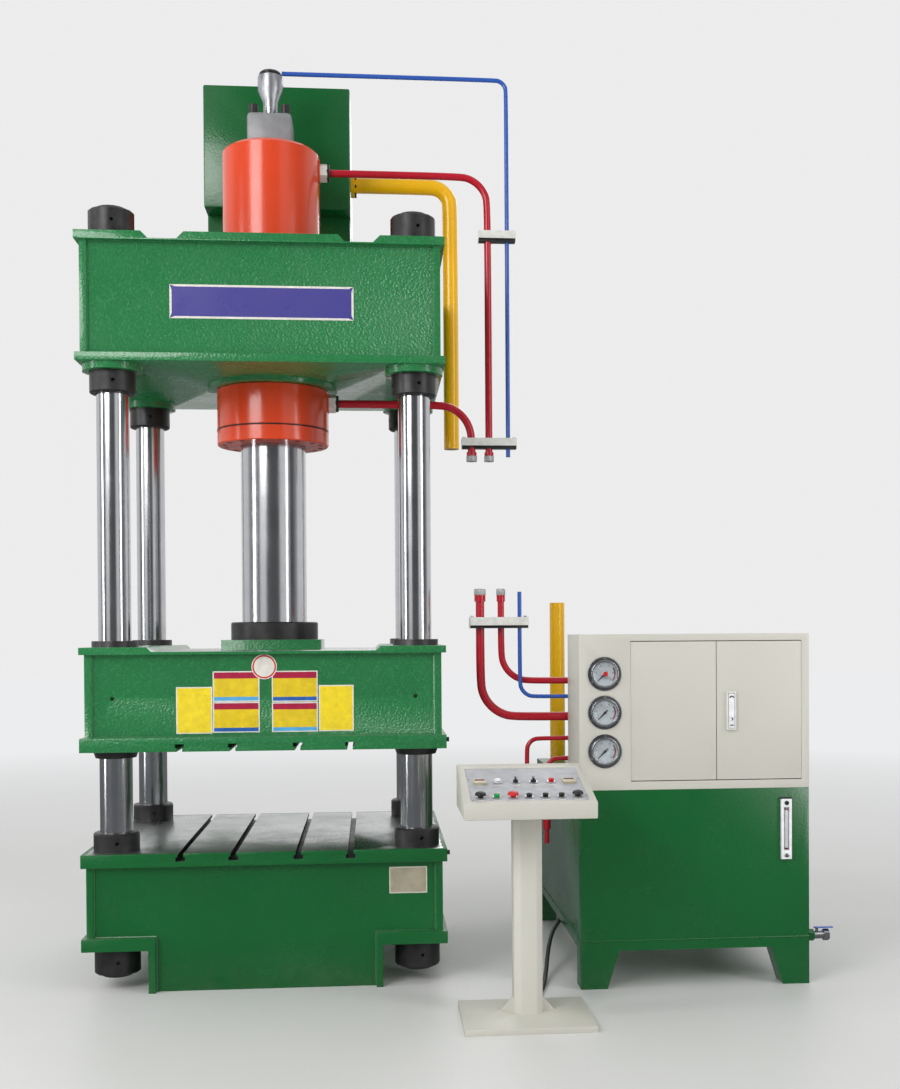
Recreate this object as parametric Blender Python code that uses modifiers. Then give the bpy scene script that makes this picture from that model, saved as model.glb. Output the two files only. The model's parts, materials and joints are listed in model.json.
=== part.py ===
"""Four-column hydraulic press with its power unit and control console.

Metres, +Z up. The origin is on the floor under the ram's axis, the front faces -Y.
"""

import math

import bmesh
import bpy
from mathutils import Matrix, Vector

# Clearances and overruns
SEAT = 0.0003
RUNNING = 0.0006
OVERRUN = 0.01
SINK = 0.004
MERGE = 0.00001
FLAT_ANGLE = math.radians(0.1)

# Sides of round pieces
COLUMN_SIDES = 16
BARREL_SIDES = 24
GAUGE_SIDES = 16
PIPE_SIDES = 12
SMALL_SIDES = 12
HOLE_SIDES = 8
SPANNER_SIDES = 6
HEXAGON_SIDES = 6
BEND_STEPS = 5
SMOOTH_ANGLE = math.radians(40)
HEIGHT_DIGITS = 6

# Beams
CROWN_WIDTH = 1.445
BED_WIDTH_CUT = 0.01
BEAM_DEPTH = 1.13
PLATE_OVERHANG = 0.018
SIDE_PLATE = 0.028
WEB_SETBACK = 0.012
BED_WIDTH = CROWN_WIDTH - BED_WIDTH_CUT
SLIDE_WIDTH = BED_WIDTH

# Columns and their nuts, the columns' places measured from the beams' sides and ends
COLUMN_EDGE = 0.1225
COLUMN_DEPTH_EDGE = 0.125
COLUMN_SPACING = CROWN_WIDTH - 2 * COLUMN_EDGE
COLUMN_DEPTH_SPACING = BEAM_DEPTH - 2 * COLUMN_DEPTH_EDGE
COLUMN_RADIUS = 0.065
COLUMN_STUB = 0.012
COLUMN_CHAMFER = 0.006
NUT_RADIUS = 0.091
NUT_CHAMFER = 0.006
OUTER_NUT_HEIGHT = 0.1062
INNER_NUT_HEIGHT = 0.074
CROWN_NUT_HEIGHT = 0.0857
SPANNER_HOLE_RADIUS = 0.0085
SPANNER_HOLE_DEPTH = 0.018
SPANNER_HOLES = 4

# Bed
BED_TOP = 0.548
TABLE_THICKNESS = 0.052
BED_FLANGE_BASE = 0.1685
BED_FLANGE_THICKNESS = 0.0495
FOOT_INSET = 0.2575

# T-slots, as places of the slots' middles from the centreline
SLOT_OUTER = 0.333
SLOT_INNER = 0.127
SLOT_NECK_WIDTH = 0.022
SLOT_HEAD_WIDTH = 0.037
SLOT_HEAD_HEIGHT = 0.016
SLOT_NECK_DEPTH = 0.014

# Slide at rest
SLIDE_BASE = 0.949
SLIDE_HEIGHT = 0.411
SLIDE_LOWER_PLATE = 0.055
SLIDE_UPPER_PLATE = 0.0285
SLIDE_PAD_WIDTH = 0.2605
SLIDE_PAD_STEP = 0.018
BOSS_WIDTH = 0.416
BOSS_STEP = 0.025
BUSH_RADIUS = 0.092
BUSH_TOP_STEP = 0.025
BUSH_LOWER_DROP = 0.029
BUSH_LOWER_RADIUS = 0.08
TRANSPORT_HOLE_EDGE = 0.1225
TRANSPORT_HOLE_RISE = 0.209
TRANSPORT_HOLE_RADIUS = 0.009
TRANSPORT_HOLE_DEPTH = 0.02

# Crown
CROWN_BASE = 2.4816
CROWN_HEIGHT = 0.5034
CROWN_TOP = CROWN_BASE + CROWN_HEIGHT
CROWN_LOWER_PLATE = 0.0304
CROWN_UPPER_PLATE = 0.033
CROWN_PAD_WIDTH = 0.2565
CROWN_NOTCH_WIDTH = 0.166
CROWN_NOTCH_DEPTH = 0.028
COLUMN_RING_RADIUS = 0.118
COLUMN_RING_DROP = 0.0276
CYLINDER_RING_RADIUS = 0.281
CYLINDER_RING_DROP = 0.0166

# Cylinder, gland and ram
BARREL_RADIUS = 0.2093
BARREL_RISE = 0.5107
BARREL_TOP = CROWN_TOP + BARREL_RISE
BARREL_END = 0.0557
BARREL_CHAMFER = 0.012
HEAD_RADIUS = 0.2404
HEAD_HEIGHT = 0.1738
HEAD_TOP = CROWN_BASE - CYLINDER_RING_DROP - SEAT
HEAD_BASE = HEAD_TOP - HEAD_HEIGHT
HEAD_CHAMFER = 0.004
BORE_RADIUS = 0.165
GLAND_THICKNESS = 0.0647
GLAND_SCREWS = 16
GLAND_SCREW_CIRCLE = 0.209
COUNTERBORE_RADIUS = 0.0155
COUNTERBORE_DEPTH = 0.012
RAM_RADIUS = 0.14
PISTON_RISE = 0.3184
PISTON_HEIGHT = 0.15
RAM_FLANGE_RADIUS = 0.188
RAM_FLANGE_HEIGHT = 0.0757
RAM_FLANGE_CHAMFER = 0.005
PORT_WIDTH = 0.075
PORT_REACH = 0.002
UPPER_PORT_HEIGHT = 0.09
UPPER_PORT_DROP = 0.0757
LOWER_PORT_HEIGHT = 0.075
LOWER_PORT_RISE = 0.1241

# Prefill valve, cap and tank
VALVE_WIDTH = 0.19
VALVE_HEIGHT = 0.151
VALVE_ROUNDING = 0.018
VALVE_SCREW_PLACE = 0.068
VALVE_SCREW_RADIUS = 0.021
VALVE_SCREW_HEIGHT = 0.034
CAP_SIDES = 12
CAP_NECK_RADIUS = 0.033
CAP_NECK_HEIGHT = 0.07
CAP_RADIUS = 0.055
CAP_FLARE_HEIGHT = 0.05
CAP_BODY_HEIGHT = 0.181
CAP_LID_RADIUS = 0.049
CAP_LID_HEIGHT = 0.203
CAP_LID_ROUNDING = 0.008
CAP_KNOB_RADIUS = 0.009
CAP_HEIGHT = 0.214
CAP_BASE = BARREL_TOP + SEAT + VALVE_HEIGHT + SEAT
PREFILL_SHIFT = 0.0085
PREFILL_WIDTH = 0.661
PREFILL_LEFT = PREFILL_SHIFT - PREFILL_WIDTH / 2
PREFILL_GAP = 0.0507
PREFILL_FRONT = BARREL_RADIUS + PREFILL_GAP
PREFILL_DEPTH = 0.5
PREFILL_RISE = 0.36
PREFILL_BASE = CROWN_TOP + PREFILL_RISE
PREFILL_HEIGHT = 0.555
PREFILL_ROUNDING = 0.008
PEDESTAL_MARGIN = 0.004
PEDESTAL_SETBACK = 0.12
PEDESTAL_DEPTH = 0.18
SUCTION_RADIUS = 0.05
SUCTION_RISE = 0.075
SUCTION_FLANGE_RADIUS = 0.07
SUCTION_FLANGE = 0.018

# Press pipes: outer and bend radius, and how far to the right of the crown each one drops
LIFT_RADIUS = 0.018
LIFT_BEND = 0.146
LIFT_STAND_OFF = 0.1455
PRESSING_RADIUS = 0.0165
PRESSING_BEND = 0.126
PRESSING_STAND_OFF = 0.2225
PILOT_RADIUS = 0.01
PILOT_BEND = 0.05
PILOT_STAND_OFF = 0.3075
PILOT_BELOW_CREST = 0.0143
PIPE_END_DROP = 0.2946
PIPE_FITTING_LENGTH = 0.04
UNION_RADIUS = 0.04
UNION_LENGTH = 0.03
UNION_RING_RADIUS = 0.037
UNION_RING_LENGTH = 0.012
FITTING_SHARE = 1.3
RETURN_RADIUS = 0.038
RETURN_WALL = 0.005
RETURN_HOLLOW = 0.15
RETURN_BEND = 0.095
RETURN_RISE = 0.195
RETURN_SETBACK = 0.24
RETURN_STAND_OFF = 0.0875
RETURN_END_DROP = 0.1916
RETURN_FLANGE_RADIUS = 0.06
RETURN_FLANGE_THICKNESS = 0.018
CLAMP_DEPTH = 0.06
CLAMP_HEIGHT = 0.034
CLAMP_MARGIN = 0.026
CLAMP_RAIL_HEIGHT = 0.012
CLAMP_RAIL_SHARE = 0.6
UPPER_CLAMP_RISE = 0.16
LOWER_CLAMP_RISE = 0.047
CROWN_SIDE = CROWN_WIDTH / 2
LIFT_DROP_PLACE = CROWN_SIDE + LIFT_STAND_OFF
PRESSING_DROP_PLACE = CROWN_SIDE + PRESSING_STAND_OFF
PILOT_DROP_PLACE = CROWN_SIDE + PILOT_STAND_OFF
PRESS_PIPE_END = CROWN_BASE - PIPE_END_DROP

# Power unit: tank and legs
UNIT_LEFT = 1.235
UNIT_WIDTH = 0.922
UNIT_FRONT = -0.69
TANK_DEPTH = 1.35
TANK_BASE = 0.15
TANK_HEIGHT = 0.635
DECK = TANK_BASE + TANK_HEIGHT + SEAT
LEG_TOP_WIDTH = 0.154
LEG_FOOT_WIDTH = 0.106
LEG_THICKNESS = 0.1

# Cabinet, doors and switchgear
CABINET_MARGIN = 0.002
CABINET_DEPTH = 0.3
CABINET_HEIGHT = 0.615
CABINET_WALL = 0.004
DOORWAY_MARGIN = 0.203
DOORWAY_LEFT = UNIT_LEFT + DOORWAY_MARGIN
DOORWAY_WIDTH = 0.69
DOORWAY_RISE = 0.033
DOORWAY_HEIGHT = 0.555
DOOR_SETBACK = 0.002
DOOR_DEPTH = 0.02
DOOR_SHEET = 0.003
DOOR_HINGE_GAP = 0.0006
DOOR_EDGE_GAP = 0.003
LOCK_SETBACK = 0.058
LOCK_PLACE = DOORWAY_LEFT + DOORWAY_WIDTH / 2 + LOCK_SETBACK
LOCK_WIDTH = 0.038
LOCK_HEIGHT = 0.152
LOCK_RISE = 0.233
LOCK_PROUD = 0.012
LOCK_RECESS = 0.007
LOCK_RIM = 0.006
LEVER_GAP = 0.002
LEVER_PROUD = 0.002
GEAR_PLATE_MARGIN = 0.03
GEAR_PLATE = 0.004
GEAR_ROWS = 3
GEAR_COLUMNS = 6
GEAR_WIDTH_SHARE = 0.72
GEAR_HEIGHT_SHARE = 0.5
GEAR_DEPTH = 0.07

# Gauges
GAUGE_MARGIN = 0.099
GAUGE_PLACE = UNIT_LEFT + GAUGE_MARGIN
GAUGE_RISE = 0.4592
GAUGE_TOP = DECK + GAUGE_RISE
GAUGE_SPACING = 0.1522
GAUGE_COUNT = 3
GAUGE_FLANGE_RADIUS = 0.0665
GAUGE_FLANGE = 0.004
GAUGE_RIM_RADIUS = 0.054
GAUGE_RIM_HEIGHT = 0.016
GAUGE_RIM = 0.005
GAUGE_DIAL_DEPTH = 0.009
GAUGE_BODY_RADIUS = 0.048
GAUGE_BODY_DEPTH = 0.045
NEEDLE_LENGTH = 0.04
NEEDLE_TAIL = 0.014
NEEDLE_WIDTH = 0.004
NEEDLE_THICKNESS = 0.0015
NEEDLE_HUB_RADIUS = 0.005
NEEDLE_HUB_HEIGHT = 0.003
NEEDLE_REST_ANGLE = math.radians(225)
SETTER_RADIUS = 0.009
SETTER_HEIGHT = 0.012
SETTER_SHAFT_RADIUS = 0.0015
SETTER_STAND = 0.007

# Level gauge and drain valve
LEVEL_MARGIN = 0.096
LEVEL_PLACE = UNIT_LEFT + UNIT_WIDTH - LEVEL_MARGIN
LEVEL_WIDTH = 0.042
LEVEL_TOP_MARGIN = 0.041
LEVEL_HEIGHT = 0.242
LEVEL_BASE = TANK_BASE + TANK_HEIGHT - LEVEL_TOP_MARGIN - LEVEL_HEIGHT
LEVEL_PROUD = 0.016
LEVEL_WINDOW = 0.022
LEVEL_WINDOW_DEPTH = 0.006
LEVEL_WINDOW_END = 0.035
DRAIN_SETBACK = 0.05
DRAIN_RISE = 0.032
DRAIN_RADIUS = 0.016
DRAIN_LENGTH = 0.095
DRAIN_NUT_RADIUS = 0.024
DRAIN_NUT_LENGTH = 0.022
DRAIN_STEM_RADIUS = 0.006
DRAIN_STEM_HEIGHT = 0.012
DRAIN_LEVER_LENGTH = 0.065
DRAIN_LEVER_WIDTH = 0.018
DRAIN_LEVER_THICKNESS = 0.004
DRAIN_LEVER_BOSS = 0.013

# Valve manifold and motor with pump
MANIFOLD_MARGIN = 0.165
MANIFOLD_LEFT = UNIT_LEFT + MANIFOLD_MARGIN
MANIFOLD_WIDTH = 0.42
MANIFOLD_GAP = 0.02
MANIFOLD_FRONT = UNIT_FRONT + CABINET_DEPTH + MANIFOLD_GAP
MANIFOLD_DEPTH = 0.26
MANIFOLD_HEIGHT = 0.47
SOLENOID_COUNT = 4
SOLENOID_WIDTH = 0.06
SOLENOID_HEIGHT = 0.07
SOLENOID_COIL_RADIUS = 0.024
SOLENOID_COIL_LENGTH = 0.05
SOLENOID_BODY_SHARE = 0.5
MOTOR_SETBACK = 0.38
MOTOR_AXIS_RISE = 0.19
MOTOR_MARGIN = 0.405
MOTOR_LEFT = UNIT_LEFT + MOTOR_MARGIN
MOTOR_LENGTH = 0.32
MOTOR_RADIUS = 0.14
MOTOR_FIN = 0.014
MOTOR_FINS = 16
FIN_GAP_SHARE = 0.4
FAN_COVER_LENGTH = 0.07
FAN_COVER_RADIUS = 0.146
BELL_RADIUS = 0.1
BELL_LENGTH = 0.09
PUMP_RADIUS = 0.07
PUMP_LENGTH = 0.15
PUMP_PIPE_RADIUS = 0.017
MOTOR_FOOT_WIDTH = 0.22
MOTOR_FOOT_MARGIN = 0.03

# Pipes of the power unit: the height of each run above the tank and its stand-off to the left of it
UNIT_PIPE_SETBACK = 0.07
UNIT_PILOT_SETBACK = 0.035
UNIT_PIPE_TOP_RISE = 0.7947
UNIT_LIFT_RADIUS = 0.019
UNIT_LIFT_BEND = 0.15
UNIT_LIFT_RISE = 0.2697
UNIT_LIFT_STAND_OFF = 0.359
UNIT_PRESSING_RADIUS = 0.0145
UNIT_PRESSING_BEND = 0.117
UNIT_PRESSING_RISE = 0.4207
UNIT_PRESSING_STAND_OFF = 0.271
UNIT_PILOT_RADIUS = 0.009
UNIT_PILOT_BEND = 0.06
UNIT_PILOT_RISE = 0.3557
UNIT_PILOT_STAND_OFF = 0.196
UNIT_C_RADIUS = 0.01
UNIT_C_BEND = 0.05
UNIT_C_RISE = 0.1777
UNIT_C_STAND_OFF = 0.164
UNIT_C_DROP = 0.263
UNIT_D_RADIUS = 0.01
UNIT_D_BEND = 0.05
UNIT_D_RISE = 0.0927
UNIT_D_STAND_OFF = 0.0805
UNIT_D_DROP = 0.359
UNIT_D_FITTING_RISE = 0.061
UNIT_CLAMP_RISE = 0.6547
UNIT_RETURN_MARGIN = 0.095
UNIT_RETURN_BACK_MARGIN = 0.06
UNIT_RETURN_HEIGHT = 0.769

# Console
CONSOLE_LEFT = 0.737
CONSOLE_WIDTH = 0.47
CONSOLE_FRONT = -1.26
CONSOLE_DEPTH = 0.4
CONSOLE_BASE = 0.757
CONSOLE_FRONT_HEIGHT = 0.059
CONSOLE_REAR_HEIGHT = 0.157
CONSOLE_ROUNDING = 0.004
PANEL_SIDE_MARGIN = 0.026
PANEL_FRONT_MARGIN = 0.022
PANEL_REAR_MARGIN = 0.05
PANEL_RECESS = 0.003
PLATE_THICKNESS = 0.022
PLATE_FRONT_MARGIN = 0.02
POST_WIDTH = 0.105
POST_DEPTH = 0.12
POST_SETBACK = 0.19
POST_SHIFT = 0.0115
POST_CORNER = 0.024
GUSSET_REACH = 0.055
GUSSET_HEIGHT = 0.06
GUSSET_THICKNESS = 0.01

# Controls, along the slope from the box's front edge
FRONT_ROW = 0.06
REAR_ROW = 0.21
FRONT_ROW_SPACING = 0.0575
REAR_ROW_SPACING = 0.0652
RING_RADIUS = 0.0155
RING_HEIGHT = 0.005
BUTTON_RADIUS = 0.0105
BUTTON_ROOT = 0.008
BUTTON_TRAVEL = 0.004
MUSHROOM_RADIUS = 0.02
MUSHROOM_STEM = 0.013
MUSHROOM_HEIGHT = 0.024
MUSHROOM_SHARES = ((0.55, 0.93), (0.88, 0.65), (1.0, 0.25))
MUSHROOM_TRAVEL = 0.006
SELECTOR_HEIGHT = 0.006
SELECTOR_GRIP_LENGTH = 0.026
SELECTOR_GRIP_WIDTH = 0.007
SELECTOR_GRIP_HEIGHT = 0.01
METER_WIDTH = 0.046
METER_DEPTH = 0.042
METER_HEIGHT = 0.01
METER_MARGIN = 0.004
METER_WINDOW_DEPTH = 0.002

# Cable from the power unit to the console
CABLE_RADIUS = 0.009
CABLE_GLAND_RADIUS = 0.014
CABLE_GLAND_LENGTH = 0.04
CABLE_LUG_WIDTH = 0.04
CABLE_ROUTE = (
    (1.248, -0.02, 0.13),
    (1.229, -0.08, 0.13),
    (1.21, -0.14, 0.128),
    (1.192, -0.195, 0.122),
    (1.176, -0.25, 0.11),
    (1.16, -0.31, 0.091),
    (1.146, -0.37, 0.07),
    (1.134, -0.43, 0.05),
    (1.123, -0.49, 0.033),
    (1.111, -0.55, 0.019),
    (1.099, -0.61, 0.0115),
    (1.085, -0.67, 0.0095),
    (1.068, -0.73, 0.0095),
    (1.048, -0.785, 0.014),
    (1.024, -0.835, 0.028),
    (1.0, -0.88, 0.045),
    (0.986, -0.918, 0.0565),
    (0.9835, -0.935, 0.058),
    (0.9835, -0.9496, 0.058),
)
CABLE_STEP = 0.045

CORNERS = {
    "front_left": (-1, -1),
    "front_right": (1, -1),
    "rear_left": (-1, 1),
    "rear_right": (1, 1),
}
UP = Vector((0, 0, 1))

GREEN = ("crown green", (0.02, 0.19, 0.065), 0.3, 0.0)
DARK_GREEN = ("bed green", (0.01, 0.13, 0.03), 0.3, 0.0)
CHROME = ("ground steel", (0.55, 0.56, 0.58), 0.25, 1.0)
OXIDE = ("black oxide", (0.02, 0.02, 0.022), 0.4, 0.6)
OFF_WHITE = ("cabinet off-white", (0.6, 0.59, 0.53), 0.4, 0.0)
ORANGE = ("cylinder orange", (0.75, 0.08, 0.02), 0.4, 0.0)
RED = ("pipe red", (0.45, 0.015, 0.03), 0.35, 0.0)
YELLOW = ("pipe yellow", (0.95, 0.48, 0.01), 0.35, 0.0)
BLUE = ("pipe blue", (0.04, 0.13, 0.5), 0.35, 0.0)
ZINC = ("zinc plate", (0.45, 0.45, 0.46), 0.35, 1.0)
WHITE = ("white plastic", (0.75, 0.75, 0.73), 0.4, 0.0)
BLACK = ("black plastic", (0.015, 0.015, 0.015), 0.4, 0.0)
BRIGHT_RED = ("red plastic", (0.7, 0.02, 0.02), 0.35, 0.0)
BRIGHT_GREEN = ("green plastic", (0.02, 0.4, 0.08), 0.35, 0.0)

# Controls from left to right, with the kind and the colour of each
FRONT_CONTROLS = (
    ("mushroom_left", "mushroom", BLACK),
    ("button_green", "button", BRIGHT_GREEN),
    ("emergency_stop", "mushroom", BRIGHT_RED),
    ("button_black_1", "button", BLACK),
    ("button_black_2", "button", BLACK),
    ("button_black_3", "button", BLACK),
    ("mushroom_right", "mushroom", BLACK),
)
REAR_CONTROLS = (
    ("meter_left", "meter", BLACK),
    ("button_white", "button", WHITE),
    ("selector_1", "selector", BLACK),
    ("selector_2", "selector", BLACK),
    ("button_red", "button", BRIGHT_RED),
    ("meter_right", "meter", BLACK),
)


def start_scene():
    for obj in list(bpy.data.objects):
        bpy.data.objects.remove(obj)
    for name in ("Hydraulic press", "Press cutters"):
        group = bpy.data.collections.new(name)
        bpy.context.scene.collection.children.link(group)


def finish_of(kind):
    """The material of one kind, made when it is first asked for."""
    name, colour, roughness, metallic = kind
    if name not in bpy.data.materials:
        made = bpy.data.materials.new(name)
        made.use_nodes = True
        shader = made.node_tree.nodes["Principled BSDF"]
        shader.inputs["Base Color"].default_value = (*colour, 1)
        shader.inputs["Roughness"].default_value = roughness
        shader.inputs["Metallic"].default_value = metallic
    return bpy.data.materials[name]


def add(data, name, kind=None, at=(0, 0, 0), turn=(0, 0, 0)):
    """Puts a mesh or curve in the scene: a piece if it has a material kind, otherwise a helper."""
    obj = bpy.data.objects.new(name, data)
    obj.location = at
    obj.rotation_euler = turn
    if kind is None:
        obj.hide_render = True
        obj.display_type = "WIRE"
        bpy.data.collections["Press cutters"].objects.link(obj)
    else:
        data.materials.append(finish_of(kind))
        bpy.data.collections["Hydraulic press"].objects.link(obj)
    return obj


def settle(obj, whole_caps=False):
    """Turns a curve or a piece with modifiers into a plain mesh; whole_caps makes each flat end one face."""
    bpy.context.view_layer.update()
    evaluated = obj.evaluated_get(bpy.context.evaluated_depsgraph_get())
    mesh = bpy.data.meshes.new_from_object(evaluated)
    body = bmesh.new()
    body.from_mesh(mesh)
    bmesh.ops.remove_doubles(body, verts=body.verts, dist=MERGE)
    if whole_caps:
        heights = {face: {round(vert.co.z, HEIGHT_DIGITS) for vert in face.verts} for face in body.faces}
        caps = [face for face in body.faces if len(heights[face]) == 1]
        bmesh.ops.delete(body, geom=caps, context="FACES")
        rims = [edge for edge in body.edges if edge.is_boundary]
        bmesh.ops.holes_fill(body, edges=rims, sides=0)
        bmesh.ops.recalc_face_normals(body, faces=body.faces)
    body.to_mesh(mesh)
    body.free()
    mesh.name = obj.name
    if obj.type == "MESH":
        obj.modifiers.clear()
        obj.data = mesh
        return obj
    name, place = obj.name, obj.matrix_world.copy()
    made = bpy.data.objects.new(name + " mesh", mesh)
    made.matrix_world = place
    made.hide_render, made.display_type = obj.hide_render, obj.display_type
    obj.users_collection[0].objects.link(made)
    bpy.data.objects.remove(obj)
    made.name = name
    return made


def block(name, low, high, kind=None, rounding=0.0, pivot=None):
    """A box between two corners, with its origin at the pivot or at its middle."""
    low, high = Vector(low), Vector(high)
    middle = (low + high) / 2
    at = Vector(pivot) if pivot is not None else middle
    body = bmesh.new()
    bmesh.ops.create_cube(body, size=1)
    size = high - low
    bmesh.ops.transform(body, matrix=Matrix.Diagonal((*size, 1)), verts=body.verts)
    bmesh.ops.transform(body, matrix=Matrix.Translation(middle - at), verts=body.verts)
    mesh = bpy.data.meshes.new(name)
    body.to_mesh(mesh)
    body.free()
    obj = add(mesh, name, kind, at)
    if rounding:
        round_edges(obj, rounding)
    return obj


def round_edges(obj, width, segments=2):
    bevel = obj.modifiers.new("Rounded edges", "BEVEL")
    bevel.width = width
    bevel.segments = segments
    bevel.limit_method = "ANGLE"


def rods(name, runs, kind=None, sides=SMALL_SIDES):
    """Round bars, each given as its radius, start and end, in one mesh."""
    body = bmesh.new()
    for radius, start, end in runs:
        start, end = Vector(start), Vector(end)
        aim = (end - start).to_track_quat("Z", "Y").to_matrix().to_4x4()
        bmesh.ops.create_cone(
            body,
            cap_ends=True,
            segments=sides,
            radius1=radius,
            radius2=radius,
            depth=(end - start).length,
            matrix=Matrix.Translation((start + end) / 2) @ aim,
        )
    mesh = bpy.data.meshes.new(name)
    body.to_mesh(mesh)
    body.free()
    mesh.shade_smooth()
    mesh.set_sharp_from_angle(angle=SMOOTH_ANGLE)
    return add(mesh, name, kind)


def turned(name, profile, at, kind=None, sides=SMALL_SIDES, turn=(0, 0, 0), ring=False):
    """A shape turned about its Z axis from (radius, height) points that run down its outer side."""
    mesh = bpy.data.meshes.new(name)
    count = len(profile)
    edges = [(i, i + 1) for i in range(count - 1)]
    if ring:
        edges.append((count - 1, 0))
    mesh.from_pydata([(radius, 0, height) for radius, height in profile], edges, [])
    obj = add(mesh, name, kind, at, turn)
    screw = obj.modifiers.new("Turned", "SCREW")
    screw.steps = sides
    screw.render_steps = sides
    screw.use_merge_vertices = True
    screw.merge_threshold = MERGE
    screw.use_smooth_shade = True
    return obj


def extruded(name, points, low, high, kind=None, face="XY"):
    """A flat outline drawn in the XY or XZ plane and extruded from low to high across it."""
    curve = bpy.data.curves.new(name, "CURVE")
    curve.dimensions = "2D"
    curve.fill_mode = "BOTH"
    curve.extrude = (high - low) / 2
    line = curve.splines.new("POLY")
    line.points.add(len(points) - 1)
    for point, (across, along) in zip(line.points, points):
        point.co = (across, along, 0, 1)
    line.use_cyclic_u = True
    middle = (low + high) / 2
    if face == "XY":
        at, turn = (0, 0, middle), (0, 0, 0)
    else:
        at, turn = (0, middle, 0), (math.pi / 2, 0, 0)
    return settle(add(curve, name, kind, at, turn), whole_caps=True)


def swept(name, points, radius, kind=None, sides=PIPE_SIDES):
    """A round bar along a line of points."""
    curve = bpy.data.curves.new(name, "CURVE")
    curve.dimensions = "3D"
    curve.bevel_depth = radius
    curve.bevel_resolution = sides // 2 - 2
    curve.use_fill_caps = True
    line = curve.splines.new("POLY")
    line.points.add(len(points) - 1)
    for point, place in zip(line.points, points):
        point.co = (*place, 1)
        point.radius = 1
    return settle(add(curve, name, kind))


def join(target, piece):
    union = target.modifiers.new("Join " + piece.name, "BOOLEAN")
    union.operation = "UNION"
    union.object = piece


def cut(target, cutter):
    difference = target.modifiers.new("Cut " + cutter.name, "BOOLEAN")
    difference.operation = "DIFFERENCE"
    difference.object = cutter


def clear_of(radius, sides, gap=SEAT):
    """Radius of a faceted hole whose flats stay a gap away from a round bar."""
    return (radius + gap) / math.cos(math.pi / sides)


def bent(corners, radius, steps=BEND_STEPS):
    """A line through the corners, with an arc of the given radius at each inner one."""
    corners = [Vector(corner) for corner in corners]
    line = [corners[0]]
    for before, here, after in zip(corners, corners[1:], corners[2:]):
        come, leave = (here - before).normalized(), (after - here).normalized()
        angle = come.angle(leave)
        inward = (leave - come * come.dot(leave)).normalized()
        start = here - come * radius * math.tan(angle / 2)
        for step in range(steps + 1):
            turn = angle * step / steps
            along, across = math.sin(turn), 1 - math.cos(turn)
            line.append(start + (come * along + inward * across) * radius)
    line.append(corners[-1])
    return line


def column_places():
    for name, (side, end) in CORNERS.items():
        yield name, side * COLUMN_SPACING / 2, end * COLUMN_DEPTH_SPACING / 2


def nut(base, height, seated_on_top):
    """Profile points of a round nut, from its top to its base, with its free rim chamfered."""
    top = base + height
    points = [(COLUMN_RADIUS, top), (NUT_RADIUS, top), (NUT_RADIUS, base), (COLUMN_RADIUS, base)]
    if seated_on_top:
        points[2:3] = [(NUT_RADIUS, base + NUT_CHAMFER), (NUT_RADIUS - NUT_CHAMFER, base)]
    else:
        points[1:2] = [(NUT_RADIUS - NUT_CHAMFER, top), (NUT_RADIUS, top - NUT_CHAMFER)]
    return points


def columns():
    """Four ground columns, each with the nuts that clamp it to the bed and the crown."""
    nuts = (
        (CROWN_TOP + SEAT, OUTER_NUT_HEIGHT, False),
        (CROWN_BASE - COLUMN_RING_DROP - SEAT - CROWN_NUT_HEIGHT, CROWN_NUT_HEIGHT, True),
        (BED_TOP + SEAT, INNER_NUT_HEIGHT, False),
        (BED_FLANGE_BASE - SEAT - OUTER_NUT_HEIGHT, OUTER_NUT_HEIGHT, True),
    )
    top = nuts[0][0] + OUTER_NUT_HEIGHT + COLUMN_STUB
    bottom = nuts[-1][0] - COLUMN_STUB
    profile = [(0, top), (COLUMN_RADIUS - COLUMN_CHAMFER, top), (COLUMN_RADIUS, top - COLUMN_CHAMFER)]
    for base, height, seated_on_top in nuts:
        profile += nut(base, height, seated_on_top)
    profile += [(COLUMN_RADIUS, bottom + COLUMN_CHAMFER), (COLUMN_RADIUS - COLUMN_CHAMFER, bottom)]
    profile.append((0, bottom))
    half_facet = math.pi / COLUMN_SIDES
    for name, x, y in column_places():
        column = turned("column_" + name, profile, (x, y, 0), CHROME, COLUMN_SIDES)
        holes = []
        for base, height, _ in nuts:
            for index in range(SPANNER_HOLES):
                angle = 2 * math.pi * index / SPANNER_HOLES + half_facet
                aim = Vector((math.cos(angle), math.sin(angle), 0))
                middle = Vector((x, y, base + height / 2))
                outer = middle + aim * (NUT_RADIUS + OVERRUN)
                inner = middle + aim * (NUT_RADIUS - SPANNER_HOLE_DEPTH)
                holes.append((SPANNER_HOLE_RADIUS, inner, outer))
        cut(column, rods("spanner holes " + name, holes, sides=SPANNER_SIDES))


def plan(half_width, half_depth):
    """Outline of a beam's middle seen from above: side plates with the front and back webs set back."""
    web_x = half_width - SIDE_PLATE
    web_y = half_depth - WEB_SETBACK
    corner = [(half_width, half_depth), (web_x, half_depth), (web_x, web_y)]
    points = corner + [(-x, y) for x, y in reversed(corner)]
    return points + [(-x, -y) for x, y in points]


def slotted_edge(surface, into):
    """T-slots across a plate's face, as outline points from -X to +X; into is -1 for slots cut downwards."""
    neck = surface + into * SLOT_NECK_DEPTH
    head = neck + into * SLOT_HEAD_HEIGHT
    narrow, wide = SLOT_NECK_WIDTH / 2, SLOT_HEAD_WIDTH / 2
    points = []
    for middle in (-SLOT_OUTER, -SLOT_INNER, SLOT_INNER, SLOT_OUTER):
        points += [(middle - narrow, surface), (middle - narrow, neck), (middle - wide, neck)]
        points += [(middle - wide, head), (middle + wide, head), (middle + wide, neck)]
        points += [(middle + narrow, neck), (middle + narrow, surface)]
    return points


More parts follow.
